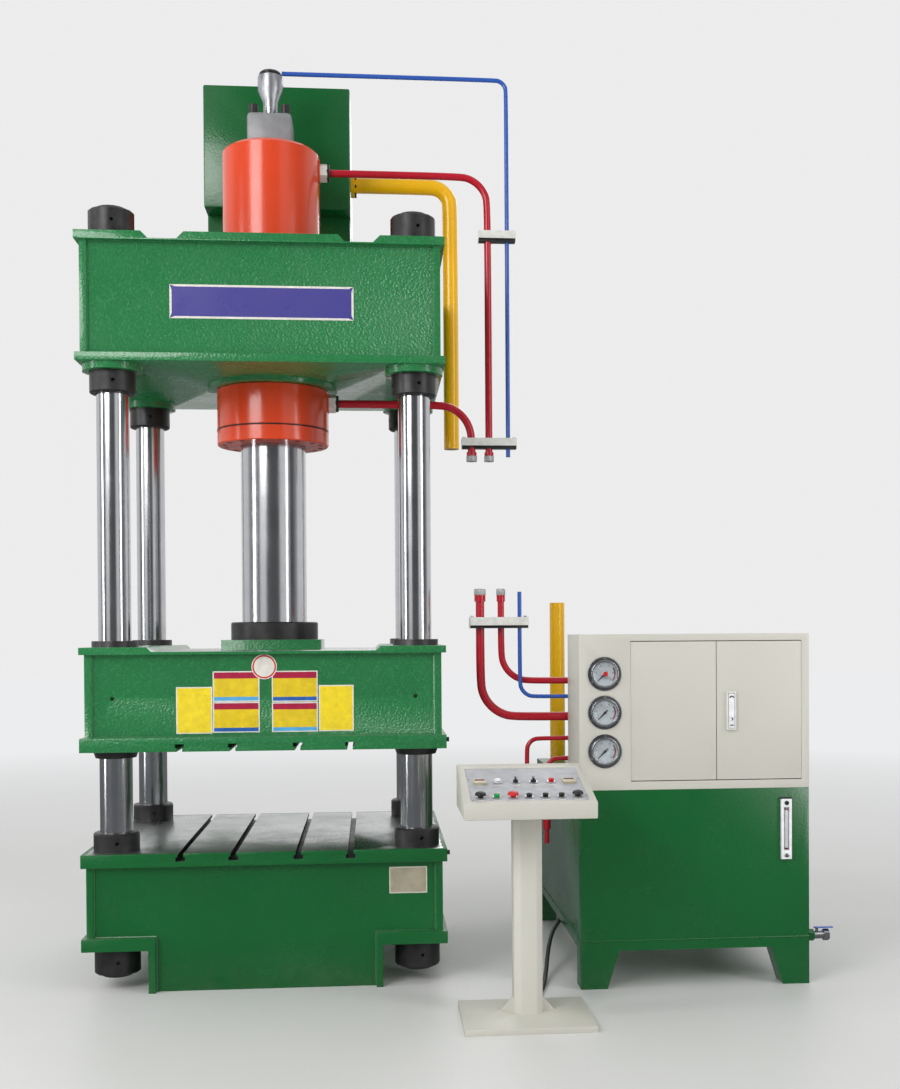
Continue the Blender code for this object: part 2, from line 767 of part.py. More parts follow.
def column_holes(name, low, high, gap):
    radius = clear_of(COLUMN_RADIUS, COLUMN_SIDES, gap)
    runs = [(radius, (x, y, low - OVERRUN), (x, y, high + OVERRUN)) for _, x, y in column_places()]
    return rods(name, runs, sides=COLUMN_SIDES)


def bed():
    """Lower beam: T-slotted table, set-back webs down to the floor, side plates, angled flanges with the feet."""
    half_depth, half_width = BEAM_DEPTH / 2, BED_WIDTH / 2
    table_base = BED_TOP - TABLE_THICKNESS
    outline = [(-half_width, BED_TOP)] + slotted_edge(BED_TOP, -1)
    outline += [(half_width, BED_TOP), (half_width, table_base), (-half_width, table_base)]
    body = extruded("bed", outline, -half_depth, half_depth, DARK_GREEN, "XZ")
    inset = half_depth - PLATE_OVERHANG
    flange_top = BED_FLANGE_BASE + BED_FLANGE_THICKNESS
    side, foot = half_width - PLATE_OVERHANG, half_width - FOOT_INSET
    wide, narrow = side - SIDE_PLATE / 2, foot - SIDE_PLATE / 2
    waist = BED_FLANGE_BASE + BED_FLANGE_THICKNESS / 2
    half = [(wide, table_base + SINK), (wide, waist), (narrow, waist), (narrow, 0)]
    webs = half + [(-x, z) for x, z in reversed(half)]
    join(body, extruded("bed webs", webs, WEB_SETBACK - inset, inset - WEB_SETBACK, face="XZ"))
    for turn in (-1, 1):
        low, high = sorted((turn * side, turn * (side - SIDE_PLATE)))
        plate_low = (low, -inset, flange_top - SINK)
        join(body, block("bed side plate", plate_low, (high, inset, table_base + SINK)))
        angle = [(half_width, BED_FLANGE_BASE), (half_width, flange_top), (foot - SIDE_PLATE, flange_top)]
        angle += [(foot - SIDE_PLATE, 0), (foot, 0), (foot, BED_FLANGE_BASE)]
        angle = [(turn * x, z) for x, z in angle]
        join(body, extruded("bed flange", angle, -half_depth, half_depth, face="XZ"))
    cut(body, column_holes("bed column holes", 0, BED_TOP, SEAT))


def stepped_top(half_width, pad_inner, top, step, base, centre):
    """Outline of a top plate whose pads stand a step above its floor, with sloped ends at the notches."""
    floor = top - step
    right = [(pad_inner - step, floor), (pad_inner, top), (half_width, top), (half_width, base)]
    if centre:
        right = [(centre, top), (centre + step, floor)] + right
    return [(-x, z) for x, z in reversed(right)] + right


def slide():
    """Moving beam: stepped top plate with ram boss, box with set-back webs, T-slotted plate, guide bushes."""
    half_depth, half_width = BEAM_DEPTH / 2, SLIDE_WIDTH / 2
    top, lower_top = SLIDE_BASE + SLIDE_HEIGHT, SLIDE_BASE + SLIDE_LOWER_PLATE
    upper_base = top - SLIDE_UPPER_PLATE
    outline = [(-half_width, SLIDE_BASE)] + slotted_edge(SLIDE_BASE, 1)
    outline += [(half_width, SLIDE_BASE), (half_width, lower_top), (-half_width, lower_top)]
    body = extruded("slide", outline, -half_depth, half_depth, GREEN, "XZ")
    inset = half_depth - PLATE_OVERHANG
    box = plan(half_width - PLATE_OVERHANG, inset)
    join(body, extruded("slide box", box, lower_top - SINK, upper_base + SINK))
    web = -(inset - WEB_SETBACK)
    height = SLIDE_BASE + TRANSPORT_HOLE_RISE
    runs = []
    for side in (-1, 1):
        x = side * (half_width - TRANSPORT_HOLE_EDGE)
        inner = (x, web + TRANSPORT_HOLE_DEPTH, height)
        runs.append((TRANSPORT_HOLE_RADIUS, (x, web - OVERRUN, height), inner))
    cut(body, rods("transport holes", runs, sides=HOLE_SIDES))
    upper = stepped_top(half_width, half_width - SLIDE_PAD_WIDTH, top, SLIDE_PAD_STEP, upper_base, 0)
    join(body, extruded("slide top plate", upper, -half_depth, half_depth, face="XZ"))
    boss, boss_low = BOSS_WIDTH / 2, top - SLIDE_PAD_STEP - SINK
    join(body, block("ram boss", (-boss, -boss, boss_low), (boss, boss, top + BOSS_STEP)))
    for name, x, y in column_places():
        upper_bush = [(0, BUSH_TOP_STEP), (BUSH_RADIUS, BUSH_TOP_STEP), (BUSH_RADIUS, -SINK), (0, -SINK)]
        join(body, turned("upper bush " + name, upper_bush, (x, y, top), sides=COLUMN_SIDES))
        drop = -BUSH_LOWER_DROP
        lower_bush = [(0, SINK), (BUSH_RADIUS, SINK), (BUSH_LOWER_RADIUS, drop), (0, drop)]
        join(body, turned("lower bush " + name, lower_bush, (x, y, SLIDE_BASE), sides=COLUMN_SIDES))
    low, high = SLIDE_BASE - BUSH_LOWER_DROP, top + BUSH_TOP_STEP
    cut(body, column_holes("slide column holes", low, high, RUNNING))


def crown():
    """Upper beam: stepped top plate, box with set-back webs, lower plate, seats of cylinder and columns."""
    half_depth, half_width = BEAM_DEPTH / 2, CROWN_SIDE
    top, lower_top = CROWN_TOP, CROWN_BASE + CROWN_LOWER_PLATE
    upper_base = top - CROWN_UPPER_PLATE
    pad_inner = half_width - CROWN_PAD_WIDTH
    centre = pad_inner - CROWN_NOTCH_WIDTH
    outline = stepped_top(half_width, pad_inner, top, CROWN_NOTCH_DEPTH, upper_base, centre)
    body = extruded("crown", outline, -half_depth, half_depth, GREEN, "XZ")
    inset = half_depth - PLATE_OVERHANG
    box = plan(half_width - PLATE_OVERHANG, inset)
    join(body, extruded("crown box", box, lower_top - SINK, upper_base + SINK))
    plate_low = (-half_width, -half_depth, CROWN_BASE)
    join(body, block("crown lower plate", plate_low, (half_width, half_depth, lower_top)))
    for name, x, y in column_places():
        run = (COLUMN_RING_RADIUS, (x, y, CROWN_BASE - COLUMN_RING_DROP), (x, y, CROWN_BASE + SINK))
        join(body, rods("column ring " + name, [run], sides=COLUMN_SIDES))
    ring = (CYLINDER_RING_RADIUS, (0, 0, CROWN_BASE - CYLINDER_RING_DROP), (0, 0, CROWN_BASE + SINK))
    join(body, rods("cylinder ring", [ring], sides=BARREL_SIDES))
    low = CROWN_BASE - COLUMN_RING_DROP
    cut(body, column_holes("crown column holes", low, top, SEAT))
    bore = clear_of(BARREL_RADIUS, BARREL_SIDES)
    run = (bore, (0, 0, low - OVERRUN), (0, 0, top + OVERRUN))
    cut(body, rods("cylinder hole", [run], sides=BARREL_SIDES))


def cylinder():
    """Barrel with its shoulder under the crown, a blind bore and two square ports on the right."""
    bore_top = BARREL_TOP - BARREL_END
    profile = [
        (0, BARREL_TOP),
        (BARREL_RADIUS - BARREL_CHAMFER, BARREL_TOP),
        (BARREL_RADIUS, BARREL_TOP - BARREL_CHAMFER),
        (BARREL_RADIUS, HEAD_TOP),
        (HEAD_RADIUS - HEAD_CHAMFER, HEAD_TOP),
        (HEAD_RADIUS, HEAD_TOP - HEAD_CHAMFER),
        (HEAD_RADIUS, HEAD_BASE + HEAD_CHAMFER),
        (HEAD_RADIUS - HEAD_CHAMFER, HEAD_BASE),
        (BORE_RADIUS, HEAD_BASE),
        (BORE_RADIUS, bore_top),
        (0, bore_top),
    ]
    body = turned("cylinder", profile, (0, 0, 0), ORANGE, BARREL_SIDES)
    half = PORT_WIDTH / 2
    for name, radius, place, height in (
        ("upper port", BARREL_RADIUS, BARREL_TOP - UPPER_PORT_DROP, UPPER_PORT_HEIGHT),
        ("lower port", HEAD_RADIUS, HEAD_BASE + LOWER_PORT_RISE, LOWER_PORT_HEIGHT),
    ):
        low = (radius - BARREL_CHAMFER, -half, place - height / 2)
        join(body, block(name, low, (radius + PORT_REACH, half, place + height / 2)))


def gland():
    """Gland flange under the cylinder's head, with a ring of counterbored screws."""
    top = HEAD_BASE - SEAT
    bottom = top - GLAND_THICKNESS
    inner = clear_of(RAM_RADIUS, BARREL_SIDES, RUNNING)
    profile = [
        (HEAD_RADIUS - HEAD_CHAMFER, top),
        (HEAD_RADIUS, top - HEAD_CHAMFER),
        (HEAD_RADIUS, bottom + HEAD_CHAMFER),
        (HEAD_RADIUS - HEAD_CHAMFER, bottom),
        (inner, bottom),
        (inner, top),
    ]
    body = turned("cylinder_gland", profile, (0, 0, 0), ORANGE, BARREL_SIDES, ring=True)
    runs = []
    for index in range(GLAND_SCREWS):
        angle = 2 * math.pi * (index + 0.5) / GLAND_SCREWS
        x, y = GLAND_SCREW_CIRCLE * math.cos(angle), GLAND_SCREW_CIRCLE * math.sin(angle)
        runs.append((COUNTERBORE_RADIUS, (x, y, bottom - OVERRUN), (x, y, bottom + COUNTERBORE_DEPTH)))
    cut(body, rods("gland counterbores", runs, sides=SPANNER_SIDES))


def ram():
    """Chromed plunger with its piston head, and the flange that ties it to the slide."""
    foot = SLIDE_BASE + SLIDE_HEIGHT + BOSS_STEP + SEAT
    piston = BORE_RADIUS - RUNNING
    piston_base = CROWN_BASE + PISTON_RISE
    piston_top = piston_base + PISTON_HEIGHT
    profile = [(0, piston_top), (piston, piston_top), (piston, piston_base), (RAM_RADIUS, piston_base)]
    profile += [(RAM_RADIUS, foot), (0, foot)]
    turned("ram", profile, (0, 0, 0), CHROME, BARREL_SIDES)
    inner = clear_of(RAM_RADIUS, BARREL_SIDES)
    top = foot + RAM_FLANGE_HEIGHT
    ring = [
        (RAM_FLANGE_RADIUS - RAM_FLANGE_CHAMFER, top),
        (RAM_FLANGE_RADIUS, top - RAM_FLANGE_CHAMFER),
        (RAM_FLANGE_RADIUS, foot),
        (inner, foot),
        (inner, top),
    ]
    turned("ram_flange", ring, (0, 0, 0), OXIDE, BARREL_SIDES, ring=True)


def prefill_valve():
    """Square valve block on the cylinder with four screws, and its control cap."""
    half, base = VALVE_WIDTH / 2, BARREL_TOP + SEAT
    top = base + VALVE_HEIGHT
    body = block("prefill_valve", (-half, -half, base), (half, half, top), ZINC, VALVE_ROUNDING)
    for name, (side, end) in CORNERS.items():
        x, y = side * VALVE_SCREW_PLACE, end * VALVE_SCREW_PLACE
        run = (VALVE_SCREW_RADIUS, (x, y, top - VALVE_ROUNDING), (x, y, top + VALVE_SCREW_HEIGHT))
        join(body, rods("valve screw " + name, [run], sides=SMALL_SIDES))
    flare, brim = CAP_BASE + CAP_NECK_HEIGHT, CAP_BASE + CAP_BODY_HEIGHT
    lid, crest = CAP_BASE + CAP_LID_HEIGHT, CAP_BASE + CAP_HEIGHT
    profile = [
        (0, crest),
        (CAP_KNOB_RADIUS, crest),
        (CAP_KNOB_RADIUS, lid),
        (CAP_LID_RADIUS - CAP_LID_ROUNDING, lid),
        (CAP_LID_RADIUS, lid - CAP_LID_ROUNDING),
        (CAP_LID_RADIUS, brim),
        (CAP_RADIUS, brim),
        (CAP_RADIUS, flare + CAP_FLARE_HEIGHT),
        (CAP_NECK_RADIUS, flare),
        (CAP_NECK_RADIUS, CAP_BASE),
        (0, CAP_BASE),
    ]
    turned("prefill_valve_cap", profile, (0, 0, 0), OXIDE, CAP_SIDES)


def prefill_tank():
    """Overhead oil tank on a pedestal behind the cylinder, with the suction neck to the prefill valve."""
    low = (PREFILL_LEFT, PREFILL_FRONT, PREFILL_BASE)
    high = (PREFILL_LEFT + PREFILL_WIDTH, PREFILL_FRONT + PREFILL_DEPTH, PREFILL_BASE + PREFILL_HEIGHT)
    body = block("prefill_tank", low, high, DARK_GREEN, PREFILL_ROUNDING)
    left, right = low[0] + PEDESTAL_MARGIN, high[0] - PEDESTAL_MARGIN
    front = PREFILL_FRONT + PEDESTAL_SETBACK
    top = PREFILL_BASE + PREFILL_ROUNDING + SINK
    join(body, block("pedestal", (left, front, CROWN_TOP + SEAT), (right, front + PEDESTAL_DEPTH, top)))
    rise = BARREL_TOP + SEAT + SUCTION_RISE
    near = VALVE_WIDTH / 2 + SEAT
    neck = (SUCTION_RADIUS, (0, near + SINK, rise), (0, PREFILL_FRONT + SINK, rise))
    flange = (SUCTION_FLANGE_RADIUS, (0, near, rise), (0, near + SUCTION_FLANGE, rise))
    join(body, rods("suction neck", [neck], sides=SMALL_SIDES))
    join(body, rods("suction flange", [flange], sides=SMALL_SIDES))


def fitting(body, name, radius, start, end):
    join(body, rods(name, [(radius * FITTING_SHARE, start, end)], sides=SMALL_SIDES))


def press_pipes():
    """Red, blue and yellow pipes from the cylinder and the prefill tank, which drop on the right."""
    upper = BARREL_RADIUS + PORT_REACH + SEAT
    lower = HEAD_RADIUS + PORT_REACH + SEAT
    cap = CAP_LID_RADIUS + SEAT
    end = PRESS_PIPE_END
    upper_run, lower_run = BARREL_TOP - UPPER_PORT_DROP, HEAD_BASE + LOWER_PORT_RISE
    pilot_run = CAP_BASE + CAP_HEIGHT - PILOT_BELOW_CREST
    for name, start, run, place, radius, bend, kind, fitted in (
        ("pipe_pressing", upper, upper_run, PRESSING_DROP_PLACE, PRESSING_RADIUS, PRESSING_BEND, RED, True),
        ("pipe_lift", lower, lower_run, LIFT_DROP_PLACE, LIFT_RADIUS, LIFT_BEND, RED, True),
        ("pipe_pilot", cap, pilot_run, PILOT_DROP_PLACE, PILOT_RADIUS, PILOT_BEND, BLUE, False),
    ):
        line = bent([(start, 0, run), (place, 0, run), (place, 0, end)], bend)
        body = swept(name, line, radius, kind)
        if fitted:
            nut_end, ring_end = start + UNION_LENGTH, start + UNION_LENGTH + UNION_RING_LENGTH
            union = (UNION_RADIUS, (start, 0, run), (nut_end, 0, run))
            ring = (UNION_RING_RADIUS, (nut_end - SINK, 0, run), (ring_end, 0, run))
            join(body, rods(name + " union", [union], sides=HEXAGON_SIDES))
            join(body, rods(name + " ring", [ring], sides=SMALL_SIDES))
            tip = (place, 0, end - PIPE_FITTING_LENGTH / 2)
            fitting(body, name + " end", radius, tip, (place, 0, end + PIPE_FITTING_LENGTH / 2))
    start, depth = PREFILL_LEFT + PREFILL_WIDTH + SEAT, PREFILL_FRONT + RETURN_SETBACK
    run, place = PREFILL_BASE + RETURN_RISE, CROWN_SIDE + RETURN_STAND_OFF
    corners = [(start, depth, run), (place, depth, run), (place, depth, CROWN_BASE - RETURN_END_DROP)]
    body = swept("pipe_return", bent(corners, RETURN_BEND), RETURN_RADIUS, YELLOW)
    flange = (RETURN_FLANGE_RADIUS, corners[0], (start + RETURN_FLANGE_THICKNESS, depth, run))
    join(body, rods("return flange", [flange], sides=BARREL_SIDES // 2))
    hollow_end(body, corners[-1], UP)


def hollow_end(body, end, inward):
    """Opens the end of a large pipe."""
    end = Vector(end)
    run = (RETURN_RADIUS - RETURN_WALL, end - inward * OVERRUN, end + inward * RETURN_HOLLOW)
    cut(body, rods(body.name + " hollow", [run], sides=PIPE_SIDES))


def clamp(name, places, depths, base):
    """Clamp bar round a row of pipes, given as (x, radius), on its rail."""
    left, right = places[0], places[-1]
    low = (left[0] - left[1] - CLAMP_MARGIN, min(depths) - CLAMP_DEPTH / 2, base)
    high = (right[0] + right[1] + CLAMP_MARGIN, max(depths) + CLAMP_DEPTH / 2, base + CLAMP_HEIGHT)
    body = block(name, low, high, WHITE)
    trim = (1 - CLAMP_RAIL_SHARE) * CLAMP_DEPTH / 2
    rail_low = (low[0], low[1] + trim, base - CLAMP_RAIL_HEIGHT)
    join(body, block(name + " rail", rail_low, (high[0], high[1] - trim, base + SINK)))
    runs = []
    for (x, radius), depth in zip(places, depths):
        hole = clear_of(radius, PIPE_SIDES)
        start = (x, depth, base - CLAMP_RAIL_HEIGHT - OVERRUN)
        runs.append((hole, start, (x, depth, base + CLAMP_HEIGHT + OVERRUN)))
    cut(body, rods(name + " holes", runs, sides=PIPE_SIDES))


def press_clamps():
    lift = (LIFT_DROP_PLACE, LIFT_RADIUS)
    pressing = (PRESSING_DROP_PLACE, PRESSING_RADIUS)
    pilot = (PILOT_DROP_PLACE, PILOT_RADIUS)
    clamp("pipe_clamp_upper", (pressing, pilot), (0, 0), CROWN_TOP + UPPER_CLAMP_RISE)
    clamp("pipe_clamp_lower", (lift, pressing, pilot), (0, 0, 0), PRESS_PIPE_END + LOWER_CLAMP_RISE)


def oil_tank():
    """Oil tank on four tapered legs, with the cable's gland under its left edge."""
    right, back = UNIT_LEFT + UNIT_WIDTH, UNIT_FRONT + TANK_DEPTH
    low = (UNIT_LEFT, UNIT_FRONT, TANK_BASE)
    body = block("oil_tank", low, (right, back, TANK_BASE + TANK_HEIGHT), DARK_GREEN)
    for name, outer, way in (("left", UNIT_LEFT, 1), ("right", right, -1)):
        points = [(outer, 0), (outer + way * LEG_FOOT_WIDTH, 0)]
        points += [(outer + way * LEG_TOP_WIDTH, TANK_BASE + SINK), (outer, TANK_BASE + SINK)]
        for end, front in (("front", UNIT_FRONT), ("rear", back - LEG_THICKNESS)):
            leg = extruded(f"{end} {name} leg", points, front, front + LEG_THICKNESS, face="XZ")
            join(body, leg)
    start = Vector(CABLE_ROUTE[0])
    aim = (start - Vector(CABLE_ROUTE[1])).normalized()
    near, far = start + aim * SEAT, start + aim * (SEAT + CABLE_GLAND_LENGTH)
    join(body, rods("cable gland", [(CABLE_GLAND_RADIUS, near, far)], sides=SMALL_SIDES))
    half = CABLE_LUG_WIDTH / 2
    lug_low = (far.x - half, far.y - half, far.z - CABLE_GLAND_RADIUS)
    join(body, block("gland lug", lug_low, (far.x + half, far.y + half, TANK_BASE + SINK)))


def cabinet_front():
    """X, Y and Z of the cabinet's lower left front corner."""
    return UNIT_LEFT - CABINET_MARGIN, UNIT_FRONT, DECK


def cabinet():
    """Sheet cabinet on the tank's front half, open at the doorway and drilled for the gauges."""
    left, front, base = cabinet_front()
    right, back = UNIT_LEFT + UNIT_WIDTH + CABINET_MARGIN, front + CABINET_DEPTH
    top, wall = base + CABINET_HEIGHT, CABINET_WALL
    body = block("cabinet", (left, front, base), (right, back, top), OFF_WHITE)
    hollow_low = (left + wall, front + wall, base + wall)
    cut(body, block("cabinet hollow", hollow_low, (right - wall, back - wall, top - wall)))
    sill = base + DOORWAY_RISE
    doorway_low = (DOORWAY_LEFT, front - OVERRUN, sill)
    doorway_high = (DOORWAY_LEFT + DOORWAY_WIDTH, front + wall + OVERRUN, sill + DOORWAY_HEIGHT)
    cut(body, block("doorway", doorway_low, doorway_high))
    hole = clear_of(GAUGE_BODY_RADIUS, GAUGE_SIDES)
    runs = []
    for height in gauge_heights():
        start = (GAUGE_PLACE, front - OVERRUN, height)
        runs.append((hole, start, (GAUGE_PLACE, front + wall + OVERRUN, height)))
    cut(body, rods("gauge holes", runs, sides=GAUGE_SIDES))


def switchgear():
    """Mounting plate on the cabinet's back wall with rows of contactors."""
    left, front, base = cabinet_front()
    back = front + CABINET_DEPTH - CABINET_WALL - SEAT
    low_x, high_x = DOORWAY_LEFT, DOORWAY_LEFT + DOORWAY_WIDTH
    low_z = base + CABINET_WALL + GEAR_PLATE_MARGIN
    high_z = base + CABINET_HEIGHT - CABINET_WALL - GEAR_PLATE_MARGIN
    body = block("switchgear", (low_x, back - GEAR_PLATE, low_z), (high_x, back, high_z), ZINC)
    pitch_x, pitch_z = (high_x - low_x) / GEAR_COLUMNS, (high_z - low_z) / GEAR_ROWS
    half_x, half_z = pitch_x * GEAR_WIDTH_SHARE / 2, pitch_z * GEAR_HEIGHT_SHARE / 2
    for row in range(GEAR_ROWS):
        for column in range(GEAR_COLUMNS):
            x, z = low_x + pitch_x * (column + 0.5), low_z + pitch_z * (row + 0.5)
            near = back - GEAR_PLATE - GEAR_DEPTH
            high = (x + half_x, back - GEAR_PLATE / 2, z + half_z)
            join(body, block(f"contactor {row} {column}", (x - half_x, near, z - half_z), high))


def doors():
    """Two pan doors that swing on their outer front edges, with the lock on the right one."""
    _, cabinet_face, base = cabinet_front()
    front = cabinet_face + DOOR_SETBACK
    low_z = base + DOORWAY_RISE + DOOR_EDGE_GAP
    high_z = base + DOORWAY_RISE + DOORWAY_HEIGHT - DOOR_EDGE_GAP
    split = DOORWAY_LEFT + DOORWAY_WIDTH / 2
    inner_gap = DOOR_EDGE_GAP / 2
    left_edge = DOORWAY_LEFT + DOOR_HINGE_GAP
    right_edge = DOORWAY_LEFT + DOORWAY_WIDTH - DOOR_HINGE_GAP
    for name, low_x, high_x, hinge in (
        ("door_left", left_edge, split - inner_gap, left_edge),
        ("door_right", split + inner_gap, right_edge, right_edge),
    ):
        back = front + DOOR_DEPTH
        pivot = (hinge, front, (low_z + high_z) / 2)
        body = block(name, (low_x, front, low_z), (high_x, back, high_z), OFF_WHITE, pivot=pivot)
        pan_low = (low_x + DOOR_SHEET, front + DOOR_SHEET, low_z + DOOR_SHEET)
        pan_high = (high_x - DOOR_SHEET, back + OVERRUN, high_z - DOOR_SHEET)
        cut(body, block(name + " pan", pan_low, pan_high))
    lock_base, half = base + LOCK_RISE, LOCK_WIDTH / 2
    lock_front, lock_top = front - SEAT - LOCK_PROUD, lock_base + LOCK_HEIGHT
    low, high = (LOCK_PLACE - half, lock_front, lock_base), (LOCK_PLACE + half, front - SEAT, lock_top)
    lock = block("door_lock", low, high, BLACK)
    rim = LOCK_RIM
    recess_low = (low[0] + rim, lock_front - OVERRUN, low[2] + rim)
    cut(lock, block("lock recess", recess_low, (high[0] - rim, lock_front + LOCK_RECESS, high[2] - rim)))
    gap = rim + LEVER_GAP
    lever_low = (low[0] + gap, lock_front - LEVER_PROUD, low[2] + gap)
    lever_high = (high[0] - gap, lock_front + LOCK_RECESS - SEAT, high[2] - rim - LEVER_GAP)
    pivot = (LOCK_PLACE, lock_front, lever_high[2])
    block("door_lock_lever", lever_low, lever_high, ZINC, pivot=pivot)


def gauge_heights():
    return [GAUGE_TOP - index * GAUGE_SPACING for index in range(GAUGE_COUNT)]


def gauges():
    """Three round pressure gauges; the top one is a contact gauge with a setting knob."""
    face = UNIT_FRONT - SEAT
    dial = GAUGE_RIM_HEIGHT - GAUGE_DIAL_DEPTH
    window = GAUGE_RIM_RADIUS - GAUGE_RIM
    profile = [
        (0, dial),
        (window, dial),
        (window, GAUGE_RIM_HEIGHT),
        (GAUGE_RIM_RADIUS, GAUGE_RIM_HEIGHT),
        (GAUGE_RIM_RADIUS, GAUGE_FLANGE),
        (GAUGE_FLANGE_RADIUS, GAUGE_FLANGE),
        (GAUGE_FLANGE_RADIUS, 0),
        (GAUGE_BODY_RADIUS, 0),
        (GAUGE_BODY_RADIUS, -GAUGE_BODY_DEPTH),
        (0, -GAUGE_BODY_DEPTH),
    ]
    upright = (math.pi / 2, 0, 0)
    half = NEEDLE_WIDTH / 2
    for index, height in enumerate(gauge_heights(), 1):
        turned(f"gauge_{index}", profile, (GAUGE_PLACE, face, height), BLACK, GAUGE_SIDES, upright)
        back = face - dial - SEAT
        needle = needle_body(f"needle_{index}", half, (GAUGE_PLACE, back, height))
        start = (GAUGE_PLACE, back - NEEDLE_HUB_HEIGHT - OVERRUN, height)
        hole = clear_of(SETTER_SHAFT_RADIUS, SMALL_SIDES, SEAT)
        run = (hole, start, (GAUGE_PLACE, back + OVERRUN, height))
        if index == 1:
            cut(needle, rods("setter shaft hole", [run], sides=SMALL_SIDES))
    stand = dial + SEAT
    shaft_top = stand + NEEDLE_HUB_HEIGHT + SETTER_STAND
    knob = [
        (0, shaft_top + SETTER_HEIGHT),
        (SETTER_RADIUS, shaft_top + SETTER_HEIGHT),
        (SETTER_RADIUS, shaft_top),
        (SETTER_SHAFT_RADIUS, shaft_top),
        (SETTER_SHAFT_RADIUS, stand),
        (0, stand),
    ]
    turned("gauge_setter", knob, (GAUGE_PLACE, face, GAUGE_TOP), BRIGHT_RED, SMALL_SIDES, upright)


def needle_body(name, half, at):
    """Pointer with a hub, which turns about the gauge's axis; at rest it points down to the left."""
    mesh_name = name + " blade"
    x, y, z = at
    points = [(-NEEDLE_TAIL, -half), (NEEDLE_LENGTH, -half / 2), (NEEDLE_LENGTH, half / 2)]
    points.append((-NEEDLE_TAIL, half))
    turn = Matrix.Rotation(NEEDLE_REST_ANGLE, 2)
    outline = [turn @ Vector(point) for point in points]
    low, high = y - NEEDLE_THICKNESS, y
    hub = (NEEDLE_HUB_RADIUS, (x, y, z), (x, y - NEEDLE_HUB_HEIGHT, z))
    body = rods(name, [hub], BLACK, SMALL_SIDES)
    body.data.transform(Matrix.Translation(-Vector(at)))
    body.location = at
    join(body, extruded(mesh_name, [(x + u, z + v) for u, v in outline], low, high, face="XZ"))
    return body


def level_and_drain():
    """Oil level gauge on the tank's front, and the ball valve with its lever on the tank's right side."""
    half, front = LEVEL_WIDTH / 2, UNIT_FRONT - SEAT
    low = (LEVEL_PLACE - half, front - LEVEL_PROUD, LEVEL_BASE)
    top = LEVEL_BASE + LEVEL_HEIGHT
    body = block("level_gauge", low, (LEVEL_PLACE + half, front, top), ZINC)
    window = LEVEL_WINDOW / 2
    window_low = (LEVEL_PLACE - window, low[1] - OVERRUN, LEVEL_BASE + LEVEL_WINDOW_END)
    window_high = (LEVEL_PLACE + window, low[1] + LEVEL_WINDOW_DEPTH, top - LEVEL_WINDOW_END)
    cut(body, block("level window", window_low, window_high))
    start = UNIT_LEFT + UNIT_WIDTH + SEAT
    y, z = UNIT_FRONT + DRAIN_SETBACK, TANK_BASE + DRAIN_RISE
    end = start + DRAIN_LENGTH
    middle = (start + end) / 2
    valve = rods("drain_valve", [(DRAIN_RADIUS, (start, y, z), (end, y, z))], ZINC, SMALL_SIDES)
    nut_length = DRAIN_NUT_LENGTH
    for name, left in (("inner", start + nut_length / 2), ("outer", end - nut_length)):
        nut_run = (DRAIN_NUT_RADIUS, (left, y, z), (left + nut_length, y, z))
        join(valve, rods("drain nut " + name, [nut_run], sides=HEXAGON_SIDES))
    stem_top = z + DRAIN_RADIUS + DRAIN_STEM_HEIGHT
    stem = (DRAIN_STEM_RADIUS, (middle, y, z), (middle, y, stem_top))
    join(valve, rods("drain stem", [stem], sides=SMALL_SIDES))
    pivot = Vector((middle, y, stem_top + SEAT))
    lever_top = pivot + UP * DRAIN_LEVER_THICKNESS
    boss = (DRAIN_LEVER_BOSS, pivot, lever_top)
    lever = rods("drain_lever", [boss], BLUE, SMALL_SIDES)
    lever.data.transform(Matrix.Translation(-pivot))
    lever.location = pivot
    arm = DRAIN_LEVER_WIDTH / 2
    arm_low = (middle, y - arm, pivot.z)
    join(lever, block("drain arm", arm_low, (middle + DRAIN_LEVER_LENGTH, y + arm, lever_top.z)))


def manifold():
    """Valve block behind the cabinet, with a row of solenoid valves on top."""
    top = DECK + MANIFOLD_HEIGHT
    right, back = MANIFOLD_LEFT + MANIFOLD_WIDTH, MANIFOLD_FRONT + MANIFOLD_DEPTH
    body = block("valve_manifold", (MANIFOLD_LEFT, MANIFOLD_FRONT, DECK), (right, back, top), ZINC)
    pitch = MANIFOLD_WIDTH / SOLENOID_COUNT
    middle_y = (MANIFOLD_FRONT + back) / 2
    half_x, half_y = SOLENOID_WIDTH / 2, MANIFOLD_DEPTH * SOLENOID_BODY_SHARE / 2
    for index in range(SOLENOID_COUNT):
        x = MANIFOLD_LEFT + pitch * (index + 0.5)
        low = (x - half_x, middle_y - half_y, top - SINK)
        high = (x + half_x, middle_y + half_y, top + SOLENOID_HEIGHT)
        join(body, block(f"solenoid valve {index}", low, high))
        height = top + SOLENOID_HEIGHT / 2
        start = (x, middle_y - half_y - SOLENOID_COIL_LENGTH, height)
        coil = (SOLENOID_COIL_RADIUS, start, (x, middle_y + half_y + SOLENOID_COIL_LENGTH, height))
        join(body, rods(f"solenoid coil {index}", [coil], sides=HOLE_SIDES))


